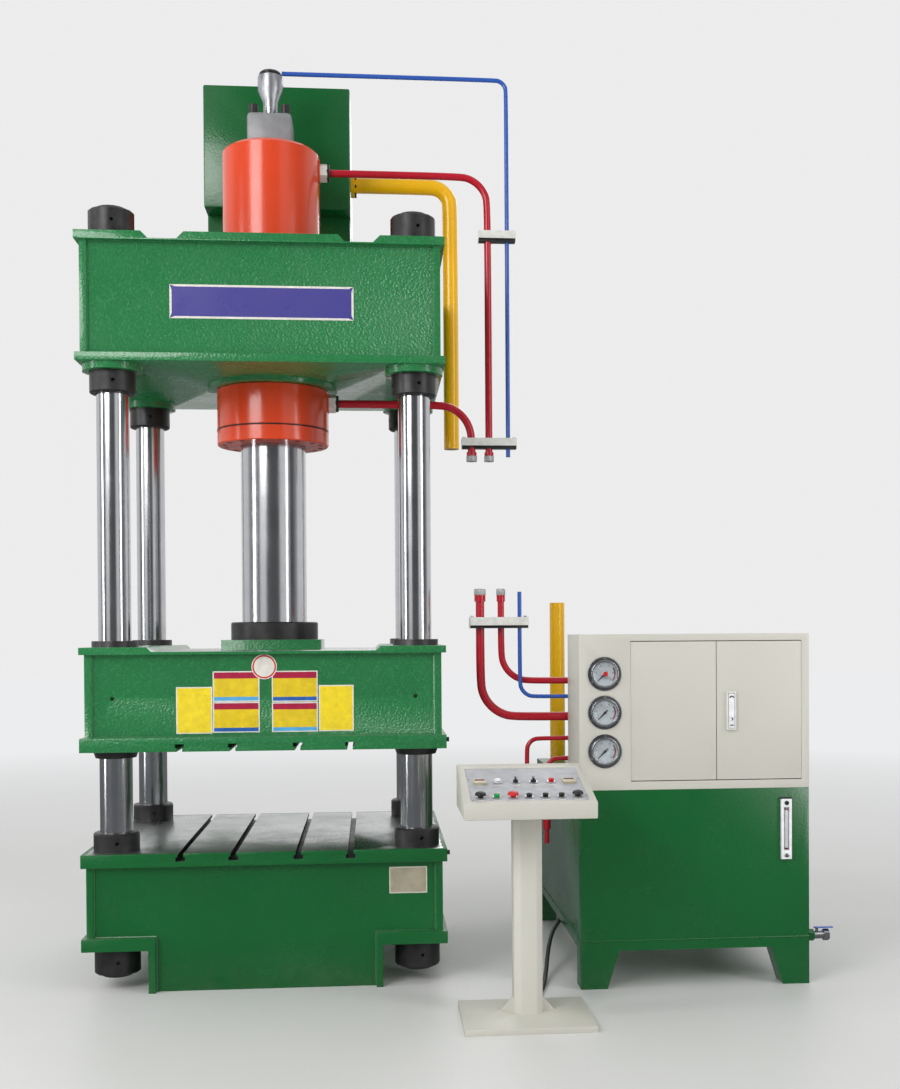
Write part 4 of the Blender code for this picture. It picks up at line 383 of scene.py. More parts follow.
def pick_faces(test):
    """Selects the edited piece's faces that pass a test of their centre and normal."""
    mesh = bpy.context.object.data
    bpy.ops.mesh.select_all(action="DESELECT")
    shape = bmesh.from_edit_mesh(mesh)
    for face in shape.faces:
        face.select_set(test(face.calc_center_median(), face.normal))
    shape.select_flush_mode()
    bmesh.update_edit_mesh(mesh)


def pierce(piece, wall, end):
    """Makes a disc a ring with the given wall; the test tells its two ends."""
    with editing(piece):
        pick_faces(end)
        bpy.ops.mesh.inset(thickness=wall, use_individual=True)
        bpy.ops.mesh.bridge_edge_loops()


def only(piece):
    """Selects one piece alone."""
    bpy.ops.object.select_all(action="DESELECT")
    piece.select_set(True)
    bpy.context.view_layer.objects.active = piece


def break_edges(piece, width, segments=2):
    """Rounds a piece's sharp edges by a small width."""
    bevel = piece.modifiers.new("Broken edges", "BEVEL")
    bevel.width = width
    bevel.segments = segments
    bevel.limit_method = "ANGLE"
    bevel.angle_limit = SMOOTH_ANGLE
    bevel.harden_normals = False
    only(piece)
    bpy.ops.object.modifier_apply(modifier=bevel.name)


def smooth(piece):
    """Shades a piece's round faces smooth."""
    only(piece)
    bpy.ops.object.shade_smooth_by_angle(angle=SMOOTH_ANGLE)


def finish_with(piece, finish):
    """Gives a whole piece one finish."""
    piece.data.materials.clear()
    piece.data.materials.append(FINISH[finish])


def trim(piece, finish, edge, segments=2, rounded=True):
    """Breaks a piece's edges, gives its finish and shades its round faces smooth."""
    break_edges(piece, edge, segments)
    finish_with(piece, finish)
    if rounded:
        smooth(piece)


def tint_faces(piece, finish, test):
    """Gives a finish to the faces that pass a test of their centre and normal."""
    piece.data.materials.append(FINISH[finish])
    index = len(piece.data.materials) - 1
    for face in piece.data.polygons:
        if test(face.center, face.normal):
            face.material_index = index


def settle(piece, name, body="root"):
    """Names a finished piece and sets it on its body."""
    piece.name = name
    piece.data.name = name
    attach(piece, body)


def copy_of(piece, turn):
    """A copy with its own mesh, turned in its mesh."""
    other = piece.copy()
    other.data = piece.data.copy()
    bpy.context.scene.collection.objects.link(other)
    other.data.transform(turn)
    return other


def joined(pieces):
    """Several pieces as one object."""
    bpy.ops.object.select_all(action="DESELECT")
    for piece in pieces:
        piece.select_set(True)
    bpy.context.view_layer.objects.active = pieces[0]
    if len(pieces) > 1:
        bpy.ops.object.join()
    return bpy.context.object


def subdivide_round(piece):
    """Rounds the facets between a piece's sharp edges, which stay."""
    with editing(piece):
        bpy.ops.mesh.select_mode(type="EDGE")
        bpy.ops.mesh.edges_select_sharp(sharpness=CREASE_ANGLE)
        bpy.ops.transform.edge_crease(value=1.0)
    rounds = piece.modifiers.new("Rounds", "SUBSURF")
    rounds.levels = 2
    rounds.render_levels = 2
    only(piece)
    bpy.ops.object.modifier_apply(modifier=rounds.name)


def body_of(node):
    """The body that a CAD node moves with."""
    return frame["nodes"][node]["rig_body"]


def dress(node, finish, edge=0.0, rounder=False):
    """A merged copy of a CAD node, with its edges broken and its round faces smooth, which stands for it."""
    source = frame["nodes"][node]
    piece = bpy.data.objects.new(node + "_skin", source.data.copy())
    bpy.context.scene.collection.objects.link(piece)
    finish_with(piece, finish)
    only(piece)
    bpy.ops.mesh.customdata_custom_splitnormals_clear()
    with editing(piece):
        bpy.ops.mesh.select_all(action="SELECT")
        bpy.ops.mesh.remove_doubles(threshold=MERGE)
        bpy.ops.mesh.dissolve_limited(angle_limit=FLAT_ANGLE)
    if rounder:
        subdivide_round(piece)
    if edge:
        break_edges(piece, edge)
    smooth(piece)
    settle(piece, node + "_skin", body_of(node))
    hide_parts(node)
    return piece


# Shader helpers


def feed(tree, socket, value):
    """Sets a socket to a value, or links another node's output to it."""
    if isinstance(value, bpy.types.NodeSocket):
        tree.links.new(value, socket)
    else:
        socket.default_value = value


def make(tree, kind, inputs=None, **settings):
    """A shader node with its settings, each input given as a value or as another node's output."""
    made = tree.nodes.new("ShaderNode" + kind)
    for name, value in settings.items():
        setattr(made, name, value)
    for name, value in (inputs or {}).items():
        feed(tree, made.inputs[name], value)
    return made


def maths(tree, operation, *values):
    """The result of a Math node on one or two values."""
    return make(tree, "Math", dict(enumerate(values)), operation=operation).outputs[0]


def plus(tree, first, second):
    return maths(tree, "ADD", first, second)


def times(tree, first, second):
    return maths(tree, "MULTIPLY", first, second)


def larger(tree, first, second):
    return maths(tree, "MAXIMUM", first, second)


def ramp(tree, value, low, high, to_low=0.0, to_high=1.0):
    """A value spread from one range to another, and kept inside it."""
    inputs = {"Value": value, "From Min": low, "From Max": high, "To Min": to_low, "To Max": to_high}
    return make(tree, "MapRange", inputs, clamp=True).outputs[0]


def blend_colours(tree, share, first, second):
    return make(tree, "Mix", {0: share, 6: first, 7: second}, data_type="RGBA").outputs[2]


def blend_values(tree, share, first, second):
    return make(tree, "Mix", {0: share, 2: first, 3: second}, data_type="FLOAT").outputs[0]


def opaque(tone):
    """A colour with its alpha."""
    return (*tone, 1)


def paler(tone, gain, lift):
    """A paler kind of a colour, opaque."""
    return opaque(min(1.0, value * gain + lift) for value in tone)


def new_group(name, inputs, outputs):
    """A node group with named inputs and outputs, and its two end nodes."""
    tree = bpy.data.node_groups.new(name, "ShaderNodeTree")
    for label, kind, default in inputs:
        tree.interface.new_socket(label, in_out="INPUT", socket_type=kind).default_value = default
    for label, kind in outputs:
        tree.interface.new_socket(label, in_out="OUTPUT", socket_type=kind)
    return tree, tree.nodes.new("NodeGroupInput").outputs, tree.nodes.new("NodeGroupOutput").inputs


FLOAT, COLOUR = "NodeSocketFloat", "NodeSocketColor"
GREY = (0.5, 0.5, 0.5, 1)


def object_place(tree):
    return make(tree, "TexCoord").outputs["Object"]


def noise(tree, vector, scale, detail=3.0, roughness=0.5):
    inputs = {"Vector": vector, "Scale": scale, "Detail": detail, "Roughness": roughness}
    return make(tree, "TexNoise", inputs).outputs["Fac"]


def shade_drift():
    """Colour that drifts a little over the surface, in broad clouds."""
    tree, given, out = new_group(
        "Shade drift",
        [("Colour", COLOUR, GREY), ("Amount", FLOAT, 0.1), ("Scale", FLOAT, 2.0)],
        [("Colour", COLOUR)])
    clouds = noise(tree, object_place(tree), given["Scale"], 4.0)
    swing = times(tree, ramp(tree, clouds, 0.3, 0.7, -1, 1), given["Amount"])
    shaded = make(tree, "HueSaturation", {"Color": given["Colour"], "Value": plus(tree, swing, 1.0)})
    tree.links.new(shaded.outputs[0], out["Colour"])
    return tree


def sprayed_skin():
    """Height and roughness of a sprayed enamel's orange peel."""
    tree, given, out = new_group(
        "Sprayed skin",
        [("Scale", FLOAT, 150.0), ("Roughness", FLOAT, 0.3), ("Spread", FLOAT, 0.1)],
        [("Height", FLOAT), ("Roughness", FLOAT)])
    place = object_place(tree)
    peel = noise(tree, place, given["Scale"], 2.0)
    clouds = ramp(tree, noise(tree, place, 7.0, 5.0, 0.6), 0.3, 0.7, -0.5, 0.5)
    rough = plus(tree, given["Roughness"], times(tree, clouds, given["Spread"]))
    tree.links.new(peel, out["Height"])
    tree.links.new(rough, out["Roughness"])
    return tree


def edge_wear_and_highlight():
    """Colour that turns paler along edges, in broken patches: partly worn paint and partly painted highlight.
    """
    tree, given, out = new_group(
        "Edge wear and painted highlight",
        [("Colour", COLOUR, GREY), ("Bare", COLOUR, GREY), ("Radius", FLOAT, 0.003), ("Amount", FLOAT, 0.5)],
        [("Colour", COLOUR)])
    # The Bare colour is the paler edge tone; it stands partly for worn paint and partly for a painted
    # highlight along the edges.
    rounded = make(tree, "Bevel", {"Radius": given["Radius"]}, samples=4).outputs["Normal"]
    flat = make(tree, "NewGeometry").outputs["Normal"]
    likeness = make(tree, "VectorMath", {0: rounded, 1: flat}, operation="DOT_PRODUCT").outputs["Value"]
    edge = ramp(tree, likeness, 0.985, 0.86)
    broken = ramp(tree, noise(tree, object_place(tree), 45.0, 6.0, 0.65), 0.38, 0.62)
    mask = times(tree, times(tree, edge, broken), given["Amount"])
    tree.links.new(blend_colours(tree, mask, given["Colour"], given["Bare"]), out["Colour"])
    return tree


def settled_dust():
    """Colour greyed by dust where the surface faces up and near the floor, and the mask of the dust."""
    tree, given, out = new_group(
        "Settled dust",
        [("Colour", COLOUR, GREY), ("Amount", FLOAT, 0.2)],
        [("Colour", COLOUR), ("Mask", FLOAT)])
    place = object_place(tree)
    up = make(tree, "SeparateXYZ", {0: make(tree, "NewGeometry").outputs["Normal"]}).outputs["Z"]
    height = make(tree, "SeparateXYZ", {0: place}).outputs["Z"]
    flat = ramp(tree, up, 0.6, 0.98)
    low = ramp(tree, height, 0.16, 0.0, 0.0, 0.5)
    patches = ramp(tree, noise(tree, place, 5.0, 8.0, 0.7), 0.35, 0.7)
    mask = times(tree, times(tree, larger(tree, flat, low), patches), given["Amount"])
    greyed = blend_colours(tree, mask, given["Colour"], opaque(srgb(176, 168, 152)))
    tree.links.new(greyed, out["Colour"])
    tree.links.new(mask, out["Mask"])
    return tree


def turned_lines():
    """Fine rings that a lathe or grinder leaves round an upright bar."""
    tree, given, out = new_group(
        "Turned lines",
        [("Scale", FLOAT, 500.0), ("Roughness", FLOAT, 0.1), ("Spread", FLOAT, 0.1)],
        [("Height", FLOAT), ("Roughness", FLOAT), ("Shade", FLOAT)])
    place = object_place(tree)
    height = make(tree, "SeparateXYZ", {0: place}).outputs["Z"]
    along = make(tree, "CombineXYZ", {"Z": height}).outputs[0]
    rings = noise(tree, along, given["Scale"], 4.0, 0.7)
    bands = noise(tree, along, 9.0, 3.0)
    smears = noise(tree, place, 6.0, 5.0, 0.6)
    uneven = plus(tree, ramp(tree, rings, 0.3, 0.7, -0.3, 0.3), ramp(tree, smears, 0.35, 0.75, -0.2, 0.7))
    rough = plus(tree, given["Roughness"], times(tree, uneven, given["Spread"]))
    tree.links.new(rings, out["Height"])
    tree.links.new(rough, out["Roughness"])
    tree.links.new(bands, out["Shade"])
    return tree


def machine_marks():
    """Milling arcs, scratches and oil smears on a machined face."""
    tree, given, out = new_group(
        "Machine marks",
        [("Scale", FLOAT, 90.0), ("Roughness", FLOAT, 0.2), ("Spread", FLOAT, 0.2)],
        [("Height", FLOAT), ("Roughness", FLOAT), ("Stain", FLOAT)])
    place = object_place(tree)
    stretched = make(tree, "Mapping", {"Vector": place, "Scale": (1.0, 0.06, 1.0)}).outputs[0]
    strokes = noise(tree, stretched, given["Scale"], 6.0, 0.65)
    smears = noise(tree, place, 3.2, 8.0, 0.62)
    grains = noise(tree, place, 240.0, 2.0)
    uneven = plus(tree, ramp(tree, strokes, 0.3, 0.7, -0.2, 0.2), ramp(tree, smears, 0.4, 0.66, -0.3, 0.8))
    rough = plus(tree, given["Roughness"], times(tree, uneven, given["Spread"]))
    tree.links.new(plus(tree, strokes, times(tree, grains, 0.3)), out["Height"])
    tree.links.new(rough, out["Roughness"])
    tree.links.new(ramp(tree, smears, 0.45, 0.62), out["Stain"])
    return tree


GROUPS = {}


def placed(tree, name, inputs):
    """A shared effect set in a material with its own values."""
    node = tree.nodes.new("ShaderNodeGroup")
    node.node_tree = GROUPS[name]
    for label, value in inputs.items():
        feed(tree, node.inputs[label], value)
    return node.outputs


def drifted(tree, tone, amount, scale):
    """A colour with broad shade drift."""
    return placed(tree, "Shade drift", {"Colour": opaque(tone), "Amount": amount, "Scale": scale})["Colour"]


def material(name, **constants):
    """A new material and its shader, with values that are the same all over set on the shader."""
    made = bpy.data.materials.new(name)
    made.use_nodes = True
    tree = made.node_tree
    shader = tree.nodes["Principled BSDF"]
    for label, value in constants.items():
        shader.inputs[label.replace("_", " ").title().replace("Ior", "IOR")].default_value = value
    return made, tree, shader


def surface(tree, shader, tone, roughness, height=None, depth=0.0):
    """Links a colour and a roughness to the shader, and a height with its depth as a bump."""
    tree.links.new(tone, shader.inputs["Base Color"])
    tree.links.new(roughness, shader.inputs["Roughness"])
    if height is not None:
        bumped = make(tree, "Bump", {"Height": height, "Distance": depth, "Strength": 1.0})
        tree.links.new(bumped.outputs[0], shader.inputs["Normal"])


def enamel(name, tone, roughness=0.26, scale=150.0, peel=0.0004, drift=0.07, wear=0.35, dust=0.25,
           bare=None, coat=0.25):
    """Sprayed enamel with orange peel, broad shade drift, paler edges that are partly wear and partly painted
    highlight, and settled dust.
    """
    made, tree, shader = material(name, coat_weight=coat, coat_roughness=0.08)
    base = drifted(tree, tone, drift, 1.6)
    # bare is the paler edge tone: partly worn paint, partly painted highlight.
    pale = opaque(bare) if bare else paler(tone, 1.5, 0.06)
    edged = placed(tree, "Edge wear and painted highlight", {"Colour": base, "Bare": pale, "Amount": wear})["Colour"]
    dusty = placed(tree, "Settled dust", {"Colour": edged, "Amount": dust})
    skin = placed(tree, "Sprayed skin", {"Scale": scale, "Roughness": roughness, "Spread": 0.12})
    rough = plus(tree, skin["Roughness"], times(tree, dusty["Mask"], 0.5))
    surface(tree, shader, dusty["Colour"], rough, skin["Height"], peel)
    return made


def hammered(name, tone):
    """Hammered enamel: cells a few millimetres wide, with pale flecks in their hollows that are painted
    glints, and paler edges that are partly wear and partly painted highlight.
    """
    made, tree, shader = material(name, coat_weight=0.35, coat_roughness=0.06)
    place = object_place(tree)
    cell_inputs = {"Vector": place, "Scale": 120.0}
    cells = make(tree, "TexVoronoi", cell_inputs, feature="SMOOTH_F1").outputs["Distance"]
    grains = noise(tree, place, 260.0, 3.0)
    base = drifted(tree, tone, 0.08, 1.4)
    # Painted glints: pale flecks in the hammered cells stand in for their sparkle.
    painted_glint = ramp(tree, plus(tree, cells, times(tree, grains, 0.25)), 0.55, 0.95, 0.0, 0.28)
    with_painted_glints = blend_colours(tree, painted_glint, base, paler(tone, 1.8, 0.05))
    edge_inputs = {"Colour": with_painted_glints, "Bare": paler(tone, 1.5, 0.08), "Amount": 0.5}
    edged = placed(tree, "Edge wear and painted highlight", edge_inputs)["Colour"]
    dusty = placed(tree, "Settled dust", {"Colour": edged, "Amount": 0.25})
    skin = placed(tree, "Sprayed skin", {"Scale": 90.0, "Roughness": 0.28, "Spread": 0.12})
    rough = plus(tree, skin["Roughness"], times(tree, dusty["Mask"], 0.5))
    surface(tree, shader, dusty["Colour"], rough, plus(tree, cells, skin["Height"]), 0.0012)
    return made


def ground_chrome():
    """Hard chrome on a ground bar, in paler and darker bands."""
    made, tree, shader = material("Ground chrome", metallic=1.0)
    lines = placed(tree, "Turned lines", {"Scale": 700.0, "Roughness": 0.16, "Spread": 0.1})
    tone = blend_colours(tree, lines["Shade"], opaque(srgb(182, 184, 188)), opaque(srgb(202, 203, 206)))
    surface(tree, shader, tone, lines["Roughness"], lines["Height"], 0.00006)
    return made


def black_oxide():
    """Blackened and oiled steel with turned lines and brighter edges, partly worn and partly painted
    highlight.
    """
    made, tree, shader = material("Black oxide", metallic=0.55)
    base = drifted(tree, srgb(60, 59, 60), 0.3, 14.0)
    edge_inputs = {"Colour": base, "Bare": opaque(srgb(120, 118, 116)), "Radius": 0.002, "Amount": 0.7}
    edged = placed(tree, "Edge wear and painted highlight", edge_inputs)["Colour"]
    lines = placed(tree, "Turned lines", {"Scale": 420.0, "Roughness": 0.4, "Spread": 0.2})
    surface(tree, shader, edged, lines["Roughness"], lines["Height"], 0.0002)
    return made


def machined():
    """Milled and oiled steel of the table, with a painted margin that creeps over its edge."""
    made, tree, shader = material("Machined steel")
    place = object_place(tree)
    marks = placed(tree, "Machine marks", {"Scale": 90.0, "Roughness": 0.3, "Spread": 0.14})
    steel = blend_colours(tree, marks["Stain"], opaque(srgb(186, 189, 188)), opaque(srgb(160, 165, 161)))
    apart = make(tree, "SeparateXYZ", {0: place}).outputs
    across = maths(tree, "ABSOLUTE", apart["X"])
    along = maths(tree, "ABSOLUTE", apart["Y"])
    ragged = ramp(tree, noise(tree, place, 30.0, 5.0), 0.3, 0.7, -0.006, 0.006)
    side = ramp(tree, plus(tree, across, ragged), 0.7, 0.703)
    end = ramp(tree, plus(tree, along, ragged), 0.548, 0.551)
    painted = larger(tree, side, end)
    tone = blend_colours(tree, painted, steel, opaque(srgb(22, 104, 50)))
    surface(tree, shader, tone, marks["Roughness"], marks["Height"], 0.0001)
    tree.links.new(ramp(tree, painted, 0.0, 1.0, 1.0, 0.0), shader.inputs["Metallic"])
    return made


def bright_metal(name, tone, roughness=0.3, grain=0.0002, metallic=1.0):
    """Zinc, cast or sheet metal with mottled shade and fine grain."""
    made, tree, shader = material(name, metallic=metallic)
    base = drifted(tree, tone, 0.12, 25.0)
    # Paler edges: partly wear, partly painted highlight.
    edge_inputs = {"Colour": base, "Bare": paler(tone, 1.3, 0.05), "Radius": 0.0015, "Amount": 0.5}
    edged = placed(tree, "Edge wear and painted highlight", edge_inputs)["Colour"]
    skin = placed(tree, "Sprayed skin", {"Scale": 380.0, "Roughness": roughness, "Spread": 0.2})
    surface(tree, shader, edged, skin["Roughness"], skin["Height"], grain)
    return made


def moulded(name, tone, roughness=0.38, grain=0.00012):
    """Moulded plastic or rubber with fine grain and handling shine."""
    made, tree, shader = material(name)
    base = drifted(tree, tone, 0.1, 40.0)
    dusty = placed(tree, "Settled dust", {"Colour": base, "Amount": 0.08})["Colour"]
    skin = placed(tree, "Sprayed skin", {"Scale": 900.0, "Roughness": roughness, "Spread": 0.14})
    surface(tree, shader, dusty, skin["Roughness"], skin["Height"], grain)
    return made


def glass():
    """Clear cover glass with a faint smear."""
    made, tree, shader = material("Cover glass", transmission_weight=1.0, ior=1.45)
    skin = placed(tree, "Sprayed skin", {"Scale": 60.0, "Roughness": 0.03, "Spread": 0.03})
    surface(tree, shader, drifted(tree, (0.97, 0.99, 0.98), 0.02, 20.0), skin["Roughness"])
    return made


FINISH = {}


def make_finishes(colours):
    """Builds the shared effects and every finish of the press."""
    for build in (shade_drift, sprayed_skin, edge_wear_and_highlight, settled_dust, turned_lines, machine_marks):
        group = build()
        GROUPS[group.name] = group
    FINISH.update(
        crown=hammered("Hammered green", tuple(colours.hammered_green)),
        bed=enamel("Bed green", tuple(colours.bed_green), 0.24, 110.0, 0.0006, dust=0.15, coat=0.12),
        orange=enamel("Cylinder orange", tuple(colours.orange), 0.22, 130.0, 0.0004, wear=0.2),
        off_white=enamel("Off-white", tuple(colours.off_white), 0.45, 420.0, 0.0004, 0.025, 0.3, 0.1,
                         srgb(236, 234, 228), 0.05),
        red=enamel("Pipe red", tuple(colours.pipe_red), 0.24, 160.0, 0.0003, 0.1, 0.2),
        yellow=enamel("Pipe yellow", tuple(colours.pipe_yellow), 0.26, 160.0, 0.0003, 0.07, 0.2),
        blue=enamel("Pipe blue", tuple(colours.pipe_blue), 0.26, 160.0, 0.0003, 0.1, 0.2),
        chrome=ground_chrome(),
        oxide=black_oxide(),
        machined=machined(),
        zinc=bright_metal("Zinc plate", srgb(186, 188, 190), 0.28),
        cast=bright_metal("Cast grey", srgb(150, 151, 154), 0.5, 0.0006, 0.35),
        panel=bright_metal("Panel silver", srgb(188, 190, 195), 0.55, 0.0002, 0.15),
        rim=bright_metal("Gauge rim", srgb(222, 224, 227), 0.2, 0.0001),
        flange=bright_metal("Gauge flange", srgb(150, 151, 155), 0.26, 0.0001),
        fitting=bright_metal("Pipe fitting", srgb(182, 184, 184), 0.5, 0.0002, 0.35),
        control=bright_metal("Valve cap", srgb(176, 178, 182), 0.3, 0.0004, 0.85),
        bare_pipe=bright_metal("Bare pipe", srgb(214, 176, 112), 0.4, 0.0003, 0.4),
        field=enamel("Name field", tuple(colours.name_field), 0.3, 500.0, 0.0001, 0.04, 0.0, 0.0),
        sheet_yellow=moulded("Sheet yellow", tuple(colours.sheet_yellow), 0.3, 0.00005),
        sheet_gold=moulded("Sheet gold", srgb(226, 196, 34), 0.3, 0.00005),
        sheet_crimson=moulded("Sheet crimson", srgb(170, 30, 66), 0.3, 0.00005),
        sheet_blue=moulded("Sheet blue", srgb(40, 96, 176), 0.3, 0.00005),
        sheet_sky=moulded("Sheet sky", srgb(84, 170, 222), 0.3, 0.00005),
        sheet_white=moulded("Sheet white", srgb(226, 222, 214), 0.3, 0.00005),
        sheet_red=moulded("Sheet red", srgb(206, 40, 34), 0.3, 0.00005),
        beige=bright_metal("Beige plate", srgb(198, 189, 166), 0.35, 0.0001, 0.4),
        white=moulded("White plastic", srgb(226, 225, 220), 0.34),
        black=moulded("Black plastic", srgb(26, 26, 27), 0.34),
        rubber=moulded("Cable rubber", srgb(30, 30, 31), 0.55, 0.0003),
        bright_red=moulded("Red plastic", srgb(206, 30, 34), 0.28),
        bright_green=moulded("Green plastic", srgb(28, 158, 76), 0.28),
        meter_window=moulded("Meter window", srgb(96, 20, 24), 0.2, 0.00002),
        lens=moulded("Lamp lens", srgb(244, 246, 250), 0.12, 0.00002),
        tube=moulded("Sight tube", srgb(204, 204, 208), 0.1, 0.00002),
        dial=moulded("Dial white", srgb(238, 244, 252), 0.4, 0.00002),
        glass=glass(),
    )


# Camera and cable


def place_camera():
    """The photograph's camera, from its place and its three turns."""
    level = Vector((math.cos(CAMERA_YAW), -math.sin(CAMERA_YAW), 0))
    onward = Vector((math.sin(CAMERA_YAW), math.cos(CAMERA_YAW), 0))
    ahead = onward * math.cos(CAMERA_PITCH) + Vector((0, 0, math.sin(CAMERA_PITCH)))
    above = level.cross(ahead)
    across = level * math.cos(CAMERA_ROLL) + above * math.sin(CAMERA_ROLL)
    upward = above * math.cos(CAMERA_ROLL) - level * math.sin(CAMERA_ROLL)
    data = bpy.data.cameras.new("Camera")
    data.sensor_width = SENSOR
    data.lens = SENSOR * FOCAL_PIXELS / IMAGE_HEIGHT
    data.shift_x = (IMAGE_WIDTH / 2 - MIDDLE_PIXEL[0]) / IMAGE_HEIGHT
    data.shift_y = (MIDDLE_PIXEL[1] - IMAGE_HEIGHT / 2) / IMAGE_HEIGHT
    camera = bpy.data.objects.new("Camera", data)
    turn = Matrix((across, upward, -ahead)).transposed().to_4x4()
    camera.matrix_world = Matrix.Translation(CAMERA_PLACE) @ turn
    bpy.context.scene.collection.objects.link(camera)
    bpy.context.scene.camera = camera


def smooth_line(points, step):
    """Points at about the given step on a smooth curve through the route's own points."""
    points = [Vector(point) for point in points]
    padded = [points[0] * 2 - points[1]] + points + [points[-1] * 2 - points[-2]]
    line = []
    for a, b, c, d in zip(padded, padded[1:], padded[2:], padded[3:]):
        pieces = max(1, round((c - b).length / step))
        for index in range(pieces):
            t = index / pieces
            square, cube = a * 2 - b * 5 + c * 4 - d, b * 3 - a - c * 3 + d
            line.append((b * 2 + (c - a) * t + square * t**2 + cube * t**3) / 2)
    line.append(points[-1])
    return line


def lay_cable():
    """The cable between the power unit and the console's post, on its route."""
    line = smooth_line(CABLE_ROUTE, CABLE_STEP)
    curve = bpy.data.curves.new("control_cable_line", "CURVE")
    curve.dimensions = "3D"
    curve.bevel_depth = CABLE_DIAMETER / 2
    curve.bevel_resolution = 4
    curve.use_fill_caps = True
    spline = curve.splines.new("POLY")
    spline.points.add(len(line) - 1)
    for point, place in zip(spline.points, line):
        point.co = (*place, 1)
    spline.use_smooth = True
    cable = bpy.data.objects.new("control_cable_line", curve)
    bpy.context.scene.collection.objects.link(cable)
    curve.materials.append(FINISH["rubber"])
    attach(cable, "root")
    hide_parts("control_cable")


# Weld beads, screws and nuts


def bead(begin, end, radius):
    """A weld bead along a line: one scale of it, repeated."""
    begin, end = Vector(begin), Vector(end)
    scales = max(2, round((end - begin).length / BEAD_PITCH))
    pitch = (end - begin).length / scales
    piece = start(bpy.ops.mesh.primitive_cone_add, vertices=BEAD_SIDES, radius1=radius,
                  radius2=radius * BEAD_TAPER, depth=pitch, end_fill_type="NOTHING")
    array = piece.modifiers.new("Scales", "ARRAY")
    array.count = scales
    array.use_relative_offset = False
    array.use_constant_offset = True
    array.constant_offset_displace = (0, 0, pitch)
    bpy.ops.object.modifier_apply(modifier=array.name)
    with editing(piece):
        bpy.ops.mesh.select_mode(type="EDGE")
        bpy.ops.mesh.select_all(action="SELECT")
        bpy.ops.mesh.region_to_loop()
        bpy.ops.mesh.edge_face_add()
    aim = (end - begin).to_track_quat("Z", "Y").to_matrix().to_4x4()
    piece.data.transform(Matrix.Translation(begin) @ aim @ Matrix.Translation((0, 0, pitch / 2)))
    return piece


def line_beads(name, lines, body, radius, finish):
    """Beads along lines, each given by its two ends, as one piece."""
    piece = joined([bead(begin, end, radius) for begin, end in lines])
    finish_with(piece, finish)
    smooth(piece)
    settle(piece, name, body)


def web_beads(name, node, web, half, body, radius):
    """Beads round the webs set back in a beam's front and back."""
    box_low, box_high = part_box(node)
    lines = []
    for y in (box_low.y + WEB_DEPTH, box_high.y - WEB_DEPTH):
        for z in web:
            lines.append(((-half, y, z), (half, y, z)))
        for x in (-half, half):
            lines.append(((x, y, web[0]), (x, y, web[1])))
    line_beads(name, lines, body, radius, "crown")


def near_column(place, reach):
    """Whether a place is within reach of a column's axis."""
    return math.hypot(abs(place.x) - COLUMN_X, abs(place.y) - COLUMN_Y) < reach


def socket_screw(radius, height, finish="oxide"):
    """A socket head screw standing on the XY plane, with its socket sunk."""
    piece = drum((0, 0, height / 2), radius, height, 24)
    with editing(piece):
        pick_faces(lambda centre, normal: normal.z > FACING)
        bpy.ops.mesh.inset(thickness=radius * 0.12)
        bpy.ops.mesh.inset(thickness=radius * 0.3)
        bpy.ops.transform.translate(value=(0, 0, -height * 0.5))
    trim(piece, finish, radius * 0.08)
    return piece


def hex_piece(radius, height, finish):
    """A hexagon nut or head standing on the XY plane, with a washer face and broken corners."""
    piece = drum((0, 0, height / 2), radius, height, 6)
    with editing(piece):
        pick_faces(lambda centre, normal: abs(normal.z) > FACING)
        bpy.ops.mesh.inset(thickness=radius * 0.12, use_individual=True)
        pick_faces(lambda centre, normal: normal.z > FACING and centre.xy.length < radius * 0.3)
        bpy.ops.transform.translate(value=(0, 0, height * 0.12))
    trim(piece, finish, radius * 0.06)
    return piece


# Bare plates and fields


def plate(name, corners, front, border, fields, body="root", corner=0.0):
    """A thin plate on a front face: its border, and its bands, each given as (top share, finish)."""
    low, high = corners
    width, height = high[0] - low[0], high[1] - low[1]
    middle = ((low[0] + high[0]) / 2, front - PLATE_THICKNESS / 2, (low[1] + high[1]) / 2)
    piece = block(middle, (width, PLATE_THICKNESS, height))
    trim(piece, "sheet_white", PLATE_THICKNESS / 3, rounded=False)
    with editing(piece):
        pick_faces(lambda centre, normal: normal.y < -FACING_SQUARELY)
        bpy.ops.mesh.inset(thickness=border)
        if corner:
            bpy.ops.mesh.select_mode(type="VERT")
            bpy.ops.mesh.bevel(offset=corner, affect="VERTICES")
            bpy.ops.mesh.select_mode(type="FACE")
        for top, _ in fields[1:]:
            pick_faces(lambda centre, normal: normal.y < -FACING_SQUARELY)
            bpy.ops.mesh.bisect(plane_co=(0, 0, low[1] + height * top), plane_no=(0, 0, 1))
    inset = border * PLATE_INSIDE_SHARE
    for top, finish in fields:
        limit = min(high[1] - inset, low[1] + height * top)
        tint_faces(piece, finish, lambda centre, normal: (
            normal.y < -FACING_SQUARELY and low[0] + inset < centre.x < high[0] - inset
            and low[1] + inset < centre.z < limit))
    settle(piece, name, body)


# Operators


class PRESS_OT_camera(bpy.types.Operator):
    """Places the camera of the photograph"""

    bl_idname = "press.camera"
    bl_label = "Camera"

    def execute(self, context):
        place_camera()
        return {"FINISHED"}


class PRESS_OT_finishes(bpy.types.Operator):
    """Builds the shared effects and the finishes"""

    bl_idname = "press.finishes"
    bl_label = "Finishes"

    def execute(self, context):
        make_finishes(context.scene.press_colours)
        return {"FINISHED"}


class PRESS_OT_cable(bpy.types.Operator):
    """Lays the cable from the power unit to the console"""

    bl_idname = "press.cable"
    bl_label = "Control cable"

    def execute(self, context):
        lay_cable()
        return {"FINISHED"}


